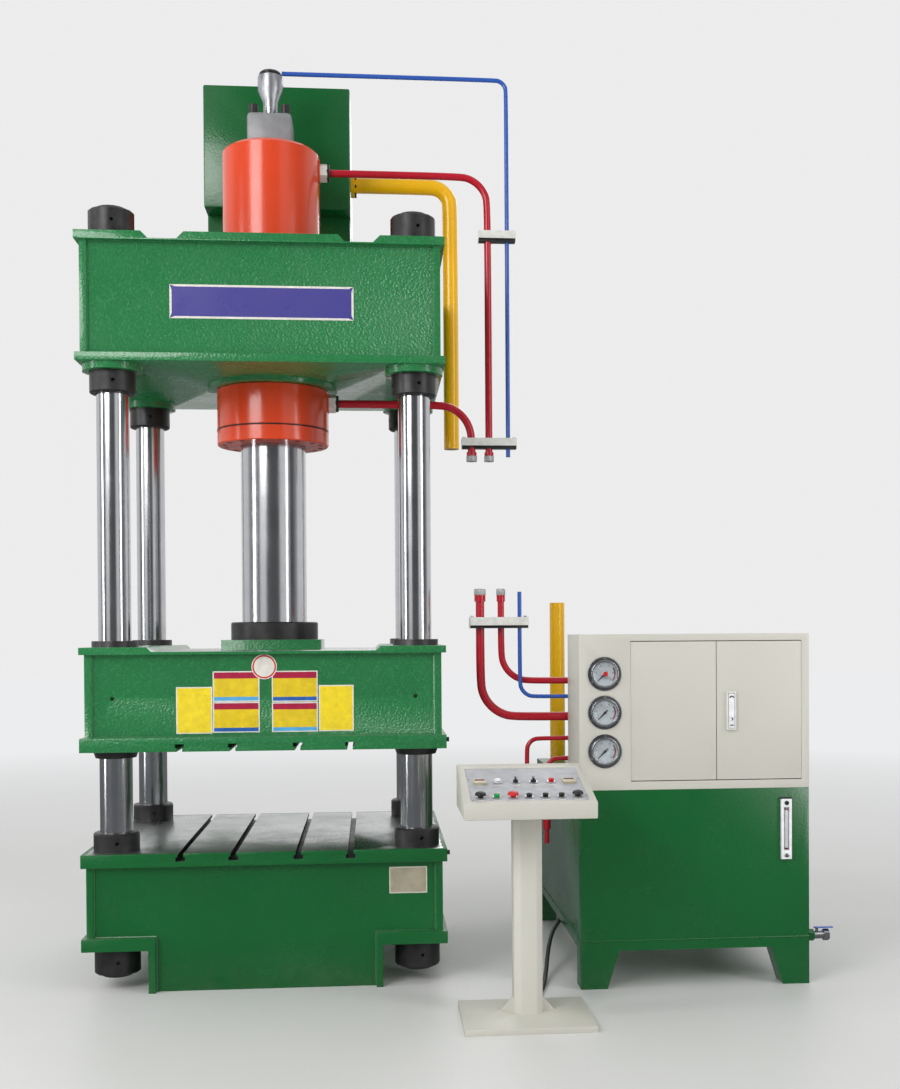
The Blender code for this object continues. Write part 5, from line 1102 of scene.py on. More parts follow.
class PRESS_OT_beams(bpy.types.Operator):
    """Dresses bed, slide and crown, with their machined faces and weld beads"""

    bl_idname = "press.beams"
    bl_label = "Beams"

    def execute(self, context):
        sizes = context.scene.press_sizes
        self.bed(sizes.plate_edge)
        self.slide(sizes.plate_edge)
        dress("crown", "crown", sizes.plate_edge)
        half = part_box("crown")[1].x - PLATE_OVERHANG - SIDE_PLATE
        web_beads("crown_beads", "crown", CROWN_WEB, half, "root", sizes.bead_radius)
        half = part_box("slide")[1].x - PLATE_OVERHANG - SIDE_PLATE
        web_beads("slide_beads", "slide", SLIDE_WEB, half, "slide", sizes.bead_radius)
        self.bed_beads(half, sizes.bead_radius)
        self.plugs()
        return {"FINISHED"}

    def bed(self, edge):
        """The bed, with its milled table and the table's dark slots, whose dark finish is painted shade."""
        piece = dress("bed", "bed", edge)
        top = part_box("bed")[1].z
        tint_faces(piece, "machined", lambda centre, normal: normal.z > FACING and centre.z > top - NEAR)
        # Painted shade: the walls and floors of the table's slots take the dark oxide finish for the shade
        # inside them.
        tint_faces(piece, "oxide", lambda centre, normal: (
            TABLE_SLOT_FLOOR < centre.z < top - 3 * NEAR
            and abs(centre.x) < TABLE_SLOT_REACH[0] and abs(centre.y) < TABLE_SLOT_REACH[1]
            and (abs(normal.x) > FACING or abs(normal.z) > FACING)))

    def slide(self, edge):
        """The slide, with its milled deck and the dark collars of its guide bushes."""
        piece = dress("slide", "crown", edge)
        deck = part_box("slide")[1].z - SLIDE_RECESS
        tint_faces(piece, "machined", lambda centre, normal: (
            normal.z > FACING and abs(centre.z - deck) < 3 * NEAR and abs(centre.x) < SLIDE_DECK_REACH))
        tint_faces(piece, "oxide", lambda centre, normal: (
            near_column(centre, COLLAR_REACH)
            and not SLIDE_COLLARS[0] <= centre.z <= SLIDE_COLLARS[1]))

    def bed_beads(self, half, radius):
        """Beads round the bed's webs, which run down to the floor between the angled flanges."""
        low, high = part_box("bed")
        lines = []
        for y in (low.y + WEB_DEPTH, high.y - WEB_DEPTH):
            lines.append(((-half, y, TABLE_BASE), (half, y, TABLE_BASE)))
            for side in (-1, 1):
                outer, inner = side * half, side * FOOT_INNER
                lines.append(((outer, y, FLANGE_TOP), (outer, y, TABLE_BASE)))
                lines.append(((inner, y, FLANGE_TOP), (outer, y, FLANGE_TOP)))
                lines.append(((inner, y, radius), (inner, y, FLANGE_TOP)))
        line_beads("bed_beads", lines, "root", radius, "bed")

    def plugs(self):
        """A small black plug on the right edge of bed and slide."""
        for name, node, place in PLUGS:
            plug = socket_screw(PLUG_RADIUS, PLUG_HEIGHT)
            plug.data.transform(Matrix.Translation((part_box(node)[1].x, *place)) @ SIDEWAYS)
            settle(plug, name, body_of(node))


class PRESS_OT_columns(bpy.types.Operator):
    """Dresses the chromed columns with their blackened nuts"""

    bl_idname = "press.columns"
    bl_label = "Columns"

    def execute(self, context):
        for name in ("front_left", "front_right", "rear_left", "rear_right"):
            column = dress("column_" + name, "chrome")
            tint_faces(column, "oxide", lambda centre, normal: (
                not near_column(centre, COLUMN_RADIUS + NEAR / 2) or normal.xy.length < 0.5
                or not COLUMN_BARE[0] <= centre.z <= COLUMN_BARE[1]))
        return {"FINISHED"}


class PRESS_OT_cylinder(bpy.types.Operator):
    """Dresses cylinder, gland, ram, prefill valve and prefill tank, and sets the gland's screws"""

    bl_idname = "press.cylinder"
    bl_label = "Cylinder"

    def execute(self, context):
        dress("cylinder", "orange")
        gland = dress("cylinder_gland", "orange")
        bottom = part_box("cylinder_gland")[0].z
        # Painted shade: the down-facing faces inside the gland's counterbores take the dark oxide finish for
        # the shade in them.
        tint_faces(gland, "oxide", lambda centre, normal: (
            normal.z < -FACING and 2 * NEAR < centre.z - bottom < COUNTERBORE_DEPTH * 2))
        dress("ram", "chrome")
        dress("ram_flange", "oxide")
        valve = dress("prefill_valve", "cast")
        block_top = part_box("prefill_valve")[1].z - VALVE_SCREW_HEIGHT
        tint_faces(valve, "oxide", lambda centre, normal: centre.z > block_top + NEAR)
        cap = dress("prefill_valve_cap", "control")
        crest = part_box("prefill_valve_cap")[1].z
        tint_faces(cap, "black", lambda centre, normal: centre.z > crest - CAP_LID_DEPTH + NEAR)
        dress("prefill_tank", "bed")
        self.gland_screws()
        self.painted_groove_shade()
        return {"FINISHED"}

    def gland_screws(self):
        """Socket screws in the gland's counterbores."""
        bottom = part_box("cylinder_gland")[0].z
        screw = socket_screw(GLAND_SCREW_RADIUS, COUNTERBORE_DEPTH)
        screw.data.transform(Matrix.Rotation(math.pi, 4, "X"))
        screw.data.transform(Matrix.Translation((GLAND_SCREW_CIRCLE, 0, bottom + COUNTERBORE_DEPTH)))
        angles = [2 * math.pi * (index + 0.5) / GLAND_SCREWS for index in range(GLAND_SCREWS)]
        screws = [copy_of(screw, Matrix.Rotation(angle, 4, "Z")) for angle in angles]
        bpy.data.objects.remove(screw)
        settle(joined(screws), "gland_screws")

    def painted_groove_shade(self):
        """Painted shade of the groove where the gland meets the cylinder's head: a thin dark band with
        rounded edges.
        """
        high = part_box("cylinder_gland")[1]
        band = drum((0, 0, high.z), high.x + JOINT_PROUD, JOINT_HEIGHT, 96)
        pierce(band, JOINT_WALL, lambda centre, normal: abs(normal.z) > FACING)
        trim(band, "oxide", JOINT_EDGE)
        settle(band, "gland_groove_shade")


class PRESS_OT_pipes(bpy.types.Operator):
    """Dresses the pipes and clamps, with unions and clamp bolts"""

    bl_idname = "press.pipes"
    bl_label = "Pipes and clamps"

    def execute(self, context):
        for node, finish in PIPES:
            piece = dress(node, finish, rounder=True)
            low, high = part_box(node)
            if node == "pipe_return":
                tint_faces(piece, "bare_pipe", lambda centre, normal: centre.z < low.z + RETURN_BARE_END)
            if node == "unit_pipe_return":
                tint_faces(piece, "bare_pipe", lambda centre, normal: (
                    centre.z > high.z - UNIT_RETURN_BARE_END))
            if node in ("pipe_pressing", "pipe_lift"):
                nut = low.x + UNION_LENGTH + NEAR
                tint_faces(piece, "white", lambda centre, normal: centre.x < nut)
                tint_faces(piece, "oxide", lambda centre, normal: (
                    nut <= centre.x < nut + UNION_RING_LENGTH))
        for node in ("pipe_clamp_upper", "pipe_clamp_lower", "unit_pipe_clamp"):
            clamp = dress(node, "white", context.scene.press_sizes.sheet_edge)
            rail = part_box(node)[0].z + CLAMP_RAIL
            tint_faces(clamp, "oxide", lambda centre, normal: centre.z < rail)
            self.clamp_bolts(node)
        self.end_nuts()
        self.flange_bolts()
        return {"FINISHED"}

    def clamp_bolts(self, node):
        """Hexagon bolts on a clamp's bar, at its two ends."""
        low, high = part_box(node)
        bolts = []
        for x in (low.x + CLAMP_BOLT_INSET, high.x - CLAMP_BOLT_INSET):
            bolt = hex_piece(BOLT_RADIUS, CLAMP_BOLT_HEIGHT, "zinc")
            bolt.data.transform(Matrix.Translation((x, (low.y + high.y) / 2, high.z)))
            bolts.append(bolt)
        settle(joined(bolts), node + "_bolts")

    def end_nuts(self):
        """Hexagon nuts on the open ends of the pressure pipes."""
        for node, top in (
            ("pipe_pressing", False),
            ("pipe_lift", False),
            ("unit_pipe_lift", True),
            ("unit_pipe_pressing", True),
        ):
            low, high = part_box(node)
            level = high.z if top else low.z
            end = [vertex.co for vertex in frame["nodes"][node].data.vertices
                   if abs(vertex.co.z - level) < 2 * NEAR]
            middle = sum(end, Vector()) / len(end)
            reach = max((place - middle).xy.length for place in end)
            nut = hex_piece(reach * END_NUT_SHARE, END_NUT_LENGTH, "fitting")
            foot = high.z - END_NUT_LENGTH + NEAR if top else low.z - NEAR
            nut.data.transform(Matrix.Translation((middle.x, middle.y, foot)))
            settle(nut, node + "_nut")

    def flange_bolts(self):
        """Hexagon bolts round the flange of the large return pipe."""
        places = [vertex.co for vertex in frame["nodes"]["pipe_return"].data.vertices]
        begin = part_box("pipe_return")[0].x
        flange = [place for place in places if place.x < begin + NEAR]
        middle = sum(flange, Vector()) / len(flange)
        thick = min(place.x for place in places if place.x > begin + 2 * NEAR) - begin
        bolts = []
        for index in range(RETURN_BOLTS):
            bolt = hex_piece(BOLT_RADIUS, RETURN_BOLT_HEIGHT, "oxide")
            bolt.data.transform(Matrix.Translation((RETURN_BOLT_CIRCLE, 0, thick)))
            bolt.data.transform(Matrix.Rotation(2 * math.pi * (index + 0.5) / RETURN_BOLTS, 4, "Z"))
            bolt.data.transform(Matrix.Translation((begin, middle.y, middle.z)) @ SIDEWAYS)
            bolts.append(bolt)
        settle(joined(bolts), "return_flange_bolts")


class PRESS_OT_power_unit(bpy.types.Operator):
    """Dresses the oil tank, cabinet, doors, valves, motor and pump"""

    bl_idname = "press.power_unit"
    bl_label = "Power unit"

    def execute(self, context):
        sizes = context.scene.press_sizes
        dress("oil_tank", "bed", sizes.plate_edge)
        for node in ("cabinet", "door_left", "door_right"):
            dress(node, "off_white", sizes.sheet_edge)
        dress("switchgear", "panel")
        dress("door_lock", "white", sizes.sheet_edge)
        dress("door_lock_lever", "lens", sizes.sheet_edge)
        self.lock_details()
        level = dress("level_gauge", "lens", sizes.sheet_edge)
        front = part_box("level_gauge")[0].y
        tint_faces(level, "panel", lambda centre, normal: (
            normal.y < -FACING and centre.y > front + 3 * NEAR))
        self.sight_tube()
        self.level_bolts()
        self.tank_seam()
        valve = dress("drain_valve", "zinc")
        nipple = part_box("drain_valve")[0].x + DRAIN_NIPPLE
        tint_faces(valve, "bed", lambda centre, normal: centre.x < nipple)
        dress("drain_lever", "blue")
        dress("valve_manifold", "cast", sizes.sheet_edge)
        motor = dress("motor_pump", "crown")
        pump_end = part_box("motor_pump")[0].x + PUMP_LENGTH
        tint_faces(motor, "cast", lambda centre, normal: centre.x < pump_end)
        return {"FINISHED"}

    def lock_details(self):
        """The lock's black arch, its key cylinder and its slot, on the lever; the slot is a black bar that
        paints the shade of its opening.
        """
        low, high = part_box("door_lock_lever")
        body = body_of("door_lock_lever")
        middle = (low.x + high.x) / 2
        arch = drum((0, 0, 0), ARCH_RADIUS, ARCH_DEPTH, 40)
        pierce(arch, ARCH_WALL, lambda centre, normal: abs(normal.z) > FACING)
        with editing(arch):
            bpy.ops.mesh.select_all(action="SELECT")
            bpy.ops.mesh.bisect(plane_co=(0, 0, 0), plane_no=(0, 1, 0), use_fill=True, clear_inner=True)
        trim(arch, "black", ARCH_EDGE, rounded=False)
        arch.data.transform(Matrix.Translation((middle, low.y - ARCH_PROUD, high.z - ARCH_DROP)) @ UPRIGHT)
        settle(arch, "lock_arch", body)
        key = socket_screw(KEY_RADIUS, KEY_HEIGHT, "rim")
        key.data.transform(Matrix.Translation((middle, low.y, low.z + KEY_RISE)) @ UPRIGHT)
        settle(key, "lock_key", body)
        # Painted shade: a black bar stands for the lock's slot in place of an opening.
        slot = block((middle, low.y, low.z + LOCK_SLOT_RISE), LOCK_SLOT_SIZE)
        trim(slot, "black", LOCK_SLOT_EDGE, rounded=False)
        settle(slot, "lock_slot", body)

    def sight_tube(self):
        """The level gauge's sight tube between its two end seals."""
        low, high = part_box("level_gauge")
        middle = (low + high) / 2
        x, y = middle.x, low.y + TUBE_DEPTH
        tube = drum((x, y, middle.z), TUBE_RADIUS, high.z - low.z - TUBE_ENDS, 32)
        with editing(tube):
            pick_faces(lambda centre, normal: abs(normal.z) > FACING)
            bpy.ops.mesh.inset(thickness=TUBE_WALL, use_individual=True)
        trim(tube, "tube", TUBE_EDGE)
        settle(tube, "sight_tube")
        seals = []
        for z in (low.z + SEAL_INSET, high.z - SEAL_INSET):
            seal = drum((x, y, z), SEAL_RADIUS, SEAL_HEIGHT, 32)
            trim(seal, "meter_window", SEAL_EDGE)
            seals.append(seal)
        settle(joined(seals), "sight_tube_seals")

    def level_bolts(self):
        """The level gauge's two bolts and its black top cap."""
        low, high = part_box("level_gauge")
        middle = (low + high) / 2
        for name, z, finish in (
            ("upper", high.z - LEVEL_BOLT_DROP, "oxide"),
            ("lower", low.z + LEVEL_BOLT_RISE, "zinc"),
        ):
            bolt = hex_piece(LEVEL_BOLT_RADIUS, LEVEL_BOLT_HEIGHT, finish)
            bolt.data.transform(Matrix.Translation((middle.x, low.y, z)) @ UPRIGHT)
            settle(bolt, f"level_{name}_bolt")
        cap_size = (high.x - low.x + TOP_CAP_OVERHANG, high.y - low.y, TOP_CAP_HEIGHT)
        cap = block((middle.x, middle.y, high.z), cap_size)
        trim(cap, "black", TOP_CAP_EDGE, rounded=False)
        settle(cap, "level_top_cap")

    def tank_seam(self):
        """The welded seam of the tank's bottom plate, along its front and both sides."""
        low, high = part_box("oil_tank")
        left, right, z = high.x - TANK_WIDTH, high.x, TANK_SEAM_HEIGHT
        lines = [
            ((left, low.y, z), (right, low.y, z)),
            ((left, low.y, z), (left, high.y, z)),
            ((right, low.y, z), (right, high.y, z)),
        ]
        line_beads("tank_seam", lines, "root", SEAM_RADIUS, "bed")


class PRESS_OT_gauges(bpy.types.Operator):
    """Dresses the gauges with rings, dials, ticks, numbers, blades, screws and glass"""

    bl_idname = "press.gauges"
    bl_label = "Gauges"

    def execute(self, context):
        for index in (1, 2, 3):
            self.gauge(index)
        dress("gauge_setter", "bright_red")
        return {"FINISHED"}

    def gauge(self, index):
        """One gauge, with all that stands on its axis."""
        low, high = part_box(f"gauge_{index}")
        middle = (low + high) / 2
        x, z = middle.x, middle.z
        body = dress(f"gauge_{index}", "rim", GAUGE_EDGE)
        dial_face = low.y + GAUGE_DIAL_DEPTH
        tint_faces(body, "flange", lambda centre, normal: (
            math.hypot(centre.x - x, centre.z - z) > GAUGE_RIM_RADIUS + RIM_LAP
            or centre.y > high.y - GAUGE_BODY_DEPTH))
        dress(f"needle_{index}", "black")
        self.dial(index, x, z, dial_face - SKIN_GAP / 3)
        self.scale_marks(index, x, z, dial_face - SKIN_GAP / 2)
        self.cover(index, x, z, low.y + GLASS_DEPTH)
        self.screws(index, x, z, low.y + GAUGE_FLANGE_FRONT)
        self.round_rings(index, x, z, low.y)
        self.blade(index, x, z)

    def dial(self, index, x, z, y):
        """The pale dial with a fine black ring."""
        piece = drum((x, y, z), GAUGE_WINDOW_RADIUS - DIAL_MARGIN, DIAL_THICKNESS, 64, FACE_FRONT)
        finish_with(piece, "dial")
        with editing(piece):
            pick_faces(lambda centre, normal: normal.y < -FACING)
            bpy.ops.mesh.inset(thickness=DIAL_RIM)
            bpy.ops.mesh.inset(thickness=DIAL_LINE)
        line = GAUGE_WINDOW_RADIUS - DIAL_LINE_PLACE
        tint_faces(piece, "black", lambda centre, normal: (
            normal.y < -FACING and abs(math.hypot(centre.x - x, centre.z - z) - line) < DIAL_LINE_REACH))
        settle(piece, f"dial_{index}")

    def scale_marks(self, index, x, z, y):
        """Ticks over three quarters of a turn, a red arc at the top end, and plain numbers."""
        marks = []
        for (length, width), count in ((SHORT_TICK, DIAL_TICKS), (LONG_TICK, DIAL_LONG_TICKS)):
            tick = block((MARK_RING - length / 2, 0, 0), (length, MARK_THICKNESS, width))
            self.repeat(tick, DIAL_START, DIAL_TURN, count)
            finish_with(tick, "black")
            marks.append(tick)
        arc = block((MARK_RING - RED_ARC_INSET, 0, 0), RED_ARC_SIZE)
        self.repeat(arc, RED_ARC_START, RED_ARC_TURN, RED_ARC_STEPS)
        finish_with(arc, "sheet_crimson")
        marks.append(arc)
        for step, text in enumerate(NUMBERS):
            marks.append(self.number(text, DIAL_START - DIAL_TURN * step / (len(NUMBERS) - 1)))
        piece = joined(marks)
        piece.data.transform(Matrix.Translation((x, y - MARK_LIFT, z)))
        settle(piece, f"dial_marks_{index}")

    def repeat(self, mark, begin, turn, count):
        """Turns a mark to its first place and repeats it round the dial."""
        mark.data.transform(Matrix.Rotation(-begin, 4, "Y"))
        with editing(mark):
            bpy.ops.mesh.select_all(action="SELECT")
            bpy.ops.mesh.spin(steps=count, dupli=True, angle=-turn, center=(0, 0, 0), axis=(0, 1, 0))

    def number(self, text, angle):
        """A plain number on the dial, at an angle."""
        bpy.ops.object.select_all(action="DESELECT")
        bpy.ops.object.text_add()
        piece = bpy.context.object
        piece.data.body = text
        piece.data.size = NUMBER_SIZE
        piece.data.align_x = "CENTER"
        piece.data.align_y = "CENTER"
        piece.data.extrude = NUMBER_THICKNESS
        bpy.ops.object.convert(target="MESH")
        reach = MARK_RING - NUMBER_INSET
        place = (math.cos(angle) * reach, 0, math.sin(angle) * reach)
        piece.data.transform(Matrix.Translation(place) @ UPRIGHT)
        finish_with(piece, "black")
        return piece

    def cover(self, index, x, z, y):
        """The cover glass; the contact gauge's has a hole for its setting knob."""
        piece = drum((x, y, z), GAUGE_WINDOW_RADIUS - GLASS_MARGIN, GLASS_THICKNESS, 64, FACE_FRONT)
        if index == 1:
            pierce(piece, GAUGE_WINDOW_RADIUS - SETTER_HOLE, lambda centre, normal: abs(normal.y) > FACING)
        trim(piece, "glass", GLASS_EDGE)
        settle(piece, f"gauge_glass_{index}")

    def screws(self, index, x, z, y):
        """Three round screws through the gauge's flange."""
        screws = []
        for turn in GAUGE_SCREW_TURNS:
            angle = math.radians(turn)
            across, up = math.cos(angle) * GAUGE_SCREW_CIRCLE, math.sin(angle) * GAUGE_SCREW_CIRCLE
            screw = socket_screw(SMALL_SCREW_RADIUS, GAUGE_SCREW_HEIGHT, "zinc")
            screw.data.transform(Matrix.Translation((x + across, y, z + up)) @ UPRIGHT)
            screws.append(screw)
        settle(joined(screws), f"gauge_screws_{index}")

    def round_rings(self, index, x, z, front):
        """The turned flange and the polished bezel round the glass."""
        for name, outer, inner, begin, end, finish in (
            ("flange", GAUGE_FLANGE_RADIUS, GAUGE_RIM_RADIUS - RIM_UNDERLAP,
             GAUGE_FLANGE_FRONT - SKIN_GAP, GAUGE_FLANGE_BACK, "flange"),
            ("bezel", GAUGE_RIM_RADIUS + RIM_LAP, GAUGE_WINDOW_RADIUS - WINDOW_LAP,
             -SKIN_GAP, GAUGE_FLANGE_FRONT, "rim"),
        ):
            ring = drum((x, front + (begin + end) / 2, z), outer, end - begin, 96, FACE_FRONT)
            pierce(ring, outer - inner, lambda centre, normal: abs(normal.y) > FACING)
            trim(ring, finish, RING_EDGE, RING_SEGMENTS)
            settle(ring, f"gauge_{name}_{index}")

    def blade(self, index, x, z):
        """The needle's broad blade, tapered from its hub to its tip."""
        piece = block(((BLADE_START + BLADE_TIP) / 2, 0, 0),
                      (BLADE_TIP - BLADE_START, BLADE_THICKNESS, BLADE_WIDTH))
        with editing(piece):
            pick_faces(lambda centre, normal: normal.x > FACING)
            bpy.ops.transform.resize(value=(1, 1, BLADE_TIP_SHARE))
        trim(piece, "black", BLADE_EDGE)
        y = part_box(f"needle_{index}")[0].y + BLADE_THICKNESS * BLADE_DEPTH_SHARE
        piece.data.transform(Matrix.Translation((x, y, z)) @ Matrix.Rotation(-DIAL_START, 4, "Y"))
        settle(piece, f"needle_blade_{index}", f"needle_{index}")


class PRESS_OT_console(bpy.types.Operator):
    """Dresses the console's stand, box and controls"""

    bl_idname = "press.console"
    bl_label = "Console"

    def execute(self, context):
        dress("console_stand", "off_white", context.scene.press_sizes.sheet_edge)
        self.box()
        for node, finish in CONTROLS:
            dress(node, finish, CONTROL_EDGE)
        for node, finish, radius in CAPS:
            self.cap(node, finish, radius)
        low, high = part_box("console_box")
        middle = (low.x + high.x) / 2
        for side in (-1, 1):
            self.meter_shade(side, middle)
        self.tags()
        self.panel_screws(middle, high.x - low.x)
        self.collar(middle, low.z)
        return {"FINISHED"}

    def box(self):
        """The sloped box, with its bare panel, the buttons' zinc rings and the two meters."""
        piece = dress("console_box", "off_white")
        faces = piece.data.polygons
        slope = max(faces, key=lambda face: face.area if face.normal.z > 0.5 else 0).normal
        level_faces = [face for face in faces if face.normal.dot(slope) > FACING_EXACTLY]
        level = max(level_faces, key=lambda face: face.area).center.dot(slope)
        low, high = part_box("console_box")
        side, front, rear = PANEL_MARGIN

        def inside(centre):
            return low.x + side < centre.x < high.x - side and low.y + front < centre.y < high.y - rear

        def lift(centre):
            return centre.dot(slope) - level

        def faces_up(normal):
            return normal.dot(slope) > FACING

        tint_faces(piece, "panel", lambda centre, normal: (
            normal.dot(slope) > FACING_EXACTLY and abs(lift(centre)) < NEAR / 2 and inside(centre)))
        tint_faces(piece, "zinc", lambda centre, normal: (
            NEAR / 2 < lift(centre) < PANEL_RING_TOP and inside(centre) and centre.y < high.y - RING_MARGIN
            and not (faces_up(normal) and abs(lift(centre) - PANEL_RECESS) < SKIN_GAP)))
        tint_faces(piece, "beige", lambda centre, normal: (
            inside(centre) and (lift(centre) > METER_WINDOW[1]
                                or (lift(centre) > METER_FOOT and not faces_up(normal)))))
        tint_faces(piece, "meter_window", lambda centre, normal: (
            inside(centre) and METER_WINDOW[0] < lift(centre) < METER_WINDOW[1] and faces_up(normal)))
        self.turn = Matrix.Rotation(math.atan2(-slope.y, slope.z), 4, "X")
        self.slope, self.level = slope, level

    def on_panel(self, centre):
        """The place on the panel's face under a point."""
        return centre - self.slope * (centre.dot(self.slope) - self.level)

    def under(self, node):
        """The place on the panel's face under a control."""
        low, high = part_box(node)
        return self.on_panel((low + high) / 2)

    def cap(self, node, finish, radius):
        """A domed cap on a push button, which moves with it."""
        dome = start(bpy.ops.mesh.primitive_uv_sphere_add, segments=32, ring_count=16, radius=radius)
        with editing(dome):
            pick_faces(lambda centre, normal: centre.z < 0)
            bpy.ops.mesh.delete(type="FACE")
            # The sphere's faces come in another order each time, so that order is set here.
            shape = bmesh.from_edit_mesh(dome.data)
            rim = [corner for corner in shape.verts if corner.is_boundary]
            shape.faces.new(sorted(rim, key=lambda corner: math.atan2(corner.co.x, corner.co.y)))
            shape.faces.sort(key=lambda face: face.calc_center_median().dot(CAP_FACE_ORDER))
            bmesh.update_edit_mesh(dome.data)
            bpy.ops.mesh.select_all(action="SELECT")
            bpy.ops.transform.resize(value=(1, 1, CAP_DOME_SHARE))
        dome.data.transform(Matrix.Translation(self.under(node) + self.slope * CAP_LIFT) @ self.turn)
        finish_with(dome, finish)
        smooth(dome)
        settle(dome, node + "_cap", body_of(node))

    def meter_shade(self, side, middle):
        """The beige lower half of a panel meter's window."""
        low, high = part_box("button_white")
        row = (low + high) / 2
        place = self.on_panel(Vector((middle + side * METER_REACH, row.y, row.z)))
        shade = block((0, 0, 0), SHADE_SIZE)
        trim(shade, "beige", SHADE_EDGE, rounded=False)
        shade.data.transform(Matrix.Translation(place + self.slope * SHADE_LIFT) @ self.turn
                             @ Matrix.Translation((0, -SHADE_DROP, 0)))
        settle(shade, f"meter_shade_{'left' if side < 0 else 'right'}")

    def tags(self):
        """A bare white tag on the panel before each control."""
        tags = []
        for node, _ in CONTROLS:
            tag = block((0, 0, 0), TAG_SIZE)
            trim(tag, "sheet_white", TAG_EDGE, rounded=False)
            tag.data.transform(Matrix.Translation(self.under(node)) @ self.turn
                               @ Matrix.Translation((0, -TAG_REACH, 0)))
            tags.append(tag)
        settle(joined(tags), "control_tags")

    def panel_screws(self, middle, width):
        """Screws at the panel's corners."""
        screws = []
        for node, along in (("button_green", PANEL_SCREW_FRONT), ("button_white", PANEL_SCREW_REAR)):
            low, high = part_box(node)
            row = (low + high) / 2
            for side in (-1, 1):
                x = middle + side * (width / 2 - PANEL_SCREW_INSET)
                place = self.on_panel(Vector((x, row.y + along, row.z)))
                screw = socket_screw(SMALL_SCREW_RADIUS, PANEL_SCREW_HEIGHT, "zinc")
                screw.data.transform(Matrix.Translation(place) @ self.turn)
                screws.append(screw)
        settle(joined(screws), "panel_screws")

    def collar(self, middle, under):
        """The plate on the post's top, under the box."""
        place = (middle + POST_SHIFT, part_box("console_box")[0].y + POST_MIDDLE, under - COLLAR_DROP)
        piece = block(place, (COLLAR_WIDTH, COLLAR_WIDTH, COLLAR_HEIGHT))
        trim(piece, "cast", COLLAR_EDGE, rounded=False)
        settle(piece, "post_collar")


class PRESS_OT_fields(bpy.types.Operator):
    """Sets the bare name field, the colour fields on the slide and the data plate"""

    bl_idname = "press.fields"
    bl_label = "Bare plates"

    def execute(self, context):
        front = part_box("crown")[0].y + WEB_DEPTH
        plate("crown_name_field", NAME_FIELD, front, NAME_BORDER, [(1, "field")],
              corner=NAME_CORNER)
        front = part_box("slide")[0].y + WEB_DEPTH
        for index, corners in enumerate(YELLOW_FIELDS, 1):
            plate(f"slide_yellow_field_{index}", corners, front, SLIDE_BORDER, [(1, "sheet_yellow")],
                  "slide")
        for index, (low, high, foot) in enumerate(BANDED_FIELDS, 1):
            bands = [(1, "sheet_crimson"), (BAND_TOP_SHARE, "sheet_gold"), (BAND_FOOT_SHARE, foot)]
            plate(f"slide_banded_field_{index}", (low, high), front, SLIDE_BORDER, bands,
                  "slide")
        self.disc(front)
        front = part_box("bed")[0].y + WEB_DEPTH
        plate("bed_data_field", DATA_FIELD, front, DATA_BORDER, [(1, "beige")])
        return {"FINISHED"}

    def disc(self, front):
        """A round field with a red ring, over the banded ones."""
        x, z = DISC_PLACE
        piece = drum((x, front - PLATE_THICKNESS * DISC_LIFT_SHARE, z), DISC_RADIUS, PLATE_THICKNESS, 64,
                     FACE_FRONT)
        finish_with(piece, "sheet_white")
        with editing(piece):
            pick_faces(lambda centre, normal: normal.y < -FACING)
            bpy.ops.mesh.inset(thickness=DISC_BORDER)
            bpy.ops.mesh.inset(thickness=DISC_BAND)
        tint_faces(piece, "sheet_red", lambda centre, normal: (
            normal.y < -FACING and DISC_RED[0] < math.hypot(centre.x - x, centre.z - z) < DISC_RED[1]))
        smooth(piece)
        settle(piece, "slide_round_field", "slide")


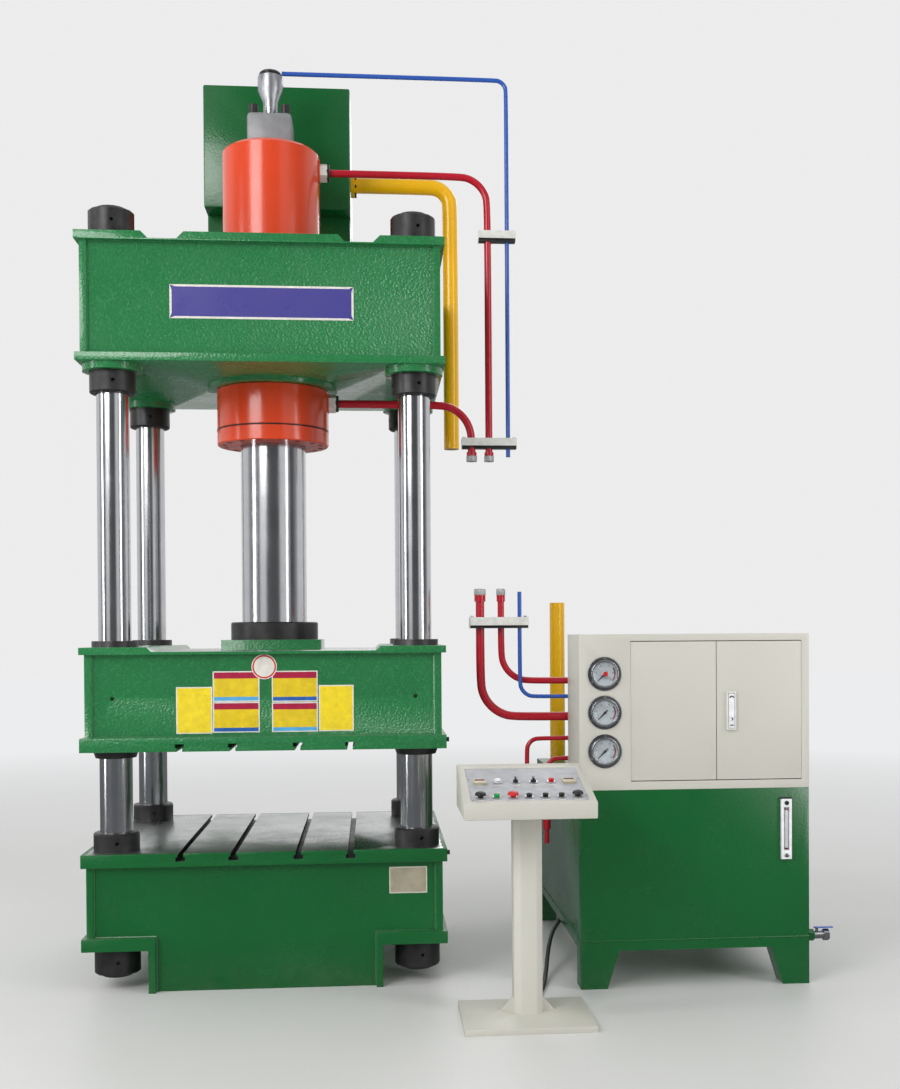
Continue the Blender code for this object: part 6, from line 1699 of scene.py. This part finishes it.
class PRESS_OT_stage(bpy.types.Operator):
    """Sets up the pale floor, the world and the soft lights"""

    bl_idname = "press.stage"
    bl_label = "Stage"

    def execute(self, context):
        stage = context.scene.press_stage
        context.scene.view_settings.view_transform = "Standard"
        self.floor()
        self.world(stage.ambient)
        self.lamp("Key", KEY_PLACE, KEY_SIZE, stage.key_power)
        self.lamp("Left strip", LEFT_STRIP_PLACE, LEFT_STRIP_SIZE, stage.fill_power)
        self.lamp("Right strip", RIGHT_STRIP_PLACE, RIGHT_STRIP_SIZE, stage.fill_power)
        self.lamp("Back", BACK_PLACE, BACK_SIZE, stage.key_power / BACK_SHARE)
        return {"FINISHED"}

    def lamp(self, name, place, size, power):
        """A rectangular soft light aimed at the press."""
        light = bpy.data.lights.new(name, "AREA")
        light.shape = "RECTANGLE"
        light.size, light.size_y = size
        light.energy = power
        lamp = bpy.data.objects.new(name, light)
        lamp.location = place
        lamp.rotation_euler = (Vector(LAMP_AIM) - Vector(place)).to_track_quat("-Z", "Y").to_euler()
        bpy.context.scene.collection.objects.link(lamp)

    def floor(self):
        """A pale floor that fades into the backdrop far from the press; metal mirrors it as a painted darker
        grey.
        """
        floor = start(bpy.ops.mesh.primitive_circle_add, vertices=96, radius=FLOOR_RADIUS, fill_type="NGON")
        floor.name = "Floor"
        made, tree, shader = material("Pale floor", roughness=0.45)
        place = object_place(tree)
        clouds = noise(tree, place, 1.5, 6.0)
        tone = blend_colours(tree, clouds, opaque(srgb(222, 222, 220)), opaque(srgb(229, 229, 228)))
        tree.links.new(tone, shader.inputs["Base Color"])
        distance = make(tree, "VectorMath", {0: place}, operation="LENGTH").outputs["Value"]
        path = make(tree, "LightPath").outputs
        seen = larger(tree, path["Is Camera Ray"], path["Is Transmission Ray"])
        far = times(tree, ramp(tree, distance, 3.0, 11.0), seen)
        glow = make(tree, "Emission", {"Color": opaque(srgb(236, 237, 238)), "Strength": 1.0})
        # Painted reflection: glossy rays see a dim grey glow in place of the floor.
        painted_floor_reflection = make(tree, "Emission", {"Color": opaque(srgb(112, 114, 116)), "Strength": 1.0})
        mixed = make(tree, "MixShader", {0: far, 1: shader.outputs[0], 2: glow.outputs[0]})
        glossy = path["Is Glossy Ray"]
        whole = make(tree, "MixShader", {0: glossy, 1: mixed.outputs[0], 2: painted_floor_reflection.outputs[0]})
        tree.links.new(whole.outputs[0], tree.nodes["Material Output"].inputs["Surface"])
        floor.data.materials.append(made)

    def world(self, ambient):
        """Pale behind the press, and darker with bright panels on the viewer's side for the metal to show."""
        world = bpy.data.worlds.new("Studio")
        bpy.context.scene.world = world
        world.use_nodes = True
        tree = world.node_tree
        way = make(tree, "TexCoord").outputs["Generated"]
        apart = make(tree, "SeparateXYZ", {0: way}).outputs
        behind = ramp(tree, apart["Y"], -0.25, 0.35)
        turn = maths(tree, "ARCTAN2", apart["Y"], apart["X"])
        stripes = maths(tree, "SINE", times(tree, turn, 5.0))
        panels = ramp(tree, stripes, 0.2, 0.75, 0.11, 0.85)
        shown = blend_values(tree, behind, panels, BACKDROP)
        path = make(tree, "LightPath").outputs
        bare = blend_values(tree, path["Is Glossy Ray"], ambient, shown)
        clear = larger(tree, path["Is Camera Ray"], path["Is Transmission Ray"])
        strength = blend_values(tree, clear, bare, BACKDROP)
        background = tree.nodes["Background"]
        background.inputs["Strength"].default_value = 1.0
        tree.links.new(strength, background.inputs["Color"])


class PRESS_PT_panel(bpy.types.Panel):
    """Lists the steps of the press's looks"""

    bl_idname = "PRESS_PT_panel"
    bl_label = "Hydraulic press"
    bl_space_type = "VIEW_3D"
    bl_region_type = "UI"
    bl_category = "Press"

    def draw(self, context):
        for group in (context.scene.press_colours, context.scene.press_sizes, context.scene.press_stage):
            for name in group.__annotations__:
                self.layout.prop(group, name)
        for operator in OPERATORS:
            self.layout.operator(operator.bl_idname)


OPERATORS = (
    PRESS_OT_camera,
    PRESS_OT_finishes,
    PRESS_OT_cable,
    PRESS_OT_beams,
    PRESS_OT_columns,
    PRESS_OT_cylinder,
    PRESS_OT_pipes,
    PRESS_OT_power_unit,
    PRESS_OT_gauges,
    PRESS_OT_console,
    PRESS_OT_fields,
    PRESS_OT_stage,
)
CLASSES = (PressColours, PressSizes, PressStage) + OPERATORS + (PRESS_PT_panel,)


def register():
    for item in CLASSES:
        bpy.utils.register_class(item)
    bpy.types.Scene.press_colours = PointerProperty(type=PressColours)
    bpy.types.Scene.press_sizes = PointerProperty(type=PressSizes)
    bpy.types.Scene.press_stage = PointerProperty(type=PressStage)


def unregister():
    del bpy.types.Scene.press_stage
    del bpy.types.Scene.press_sizes
    del bpy.types.Scene.press_colours
    for item in reversed(CLASSES):
        bpy.utils.unregister_class(item)


def main():
    register()
    bpy.ops.press.camera()
    bpy.ops.press.finishes()
    bpy.ops.press.cable()
    bpy.ops.press.beams()
    bpy.ops.press.columns()
    bpy.ops.press.cylinder()
    bpy.ops.press.pipes()
    bpy.ops.press.power_unit()
    bpy.ops.press.gauges()
    bpy.ops.press.console()
    bpy.ops.press.fields()
    bpy.ops.press.stage()


if __name__ == "__main__":
    main()
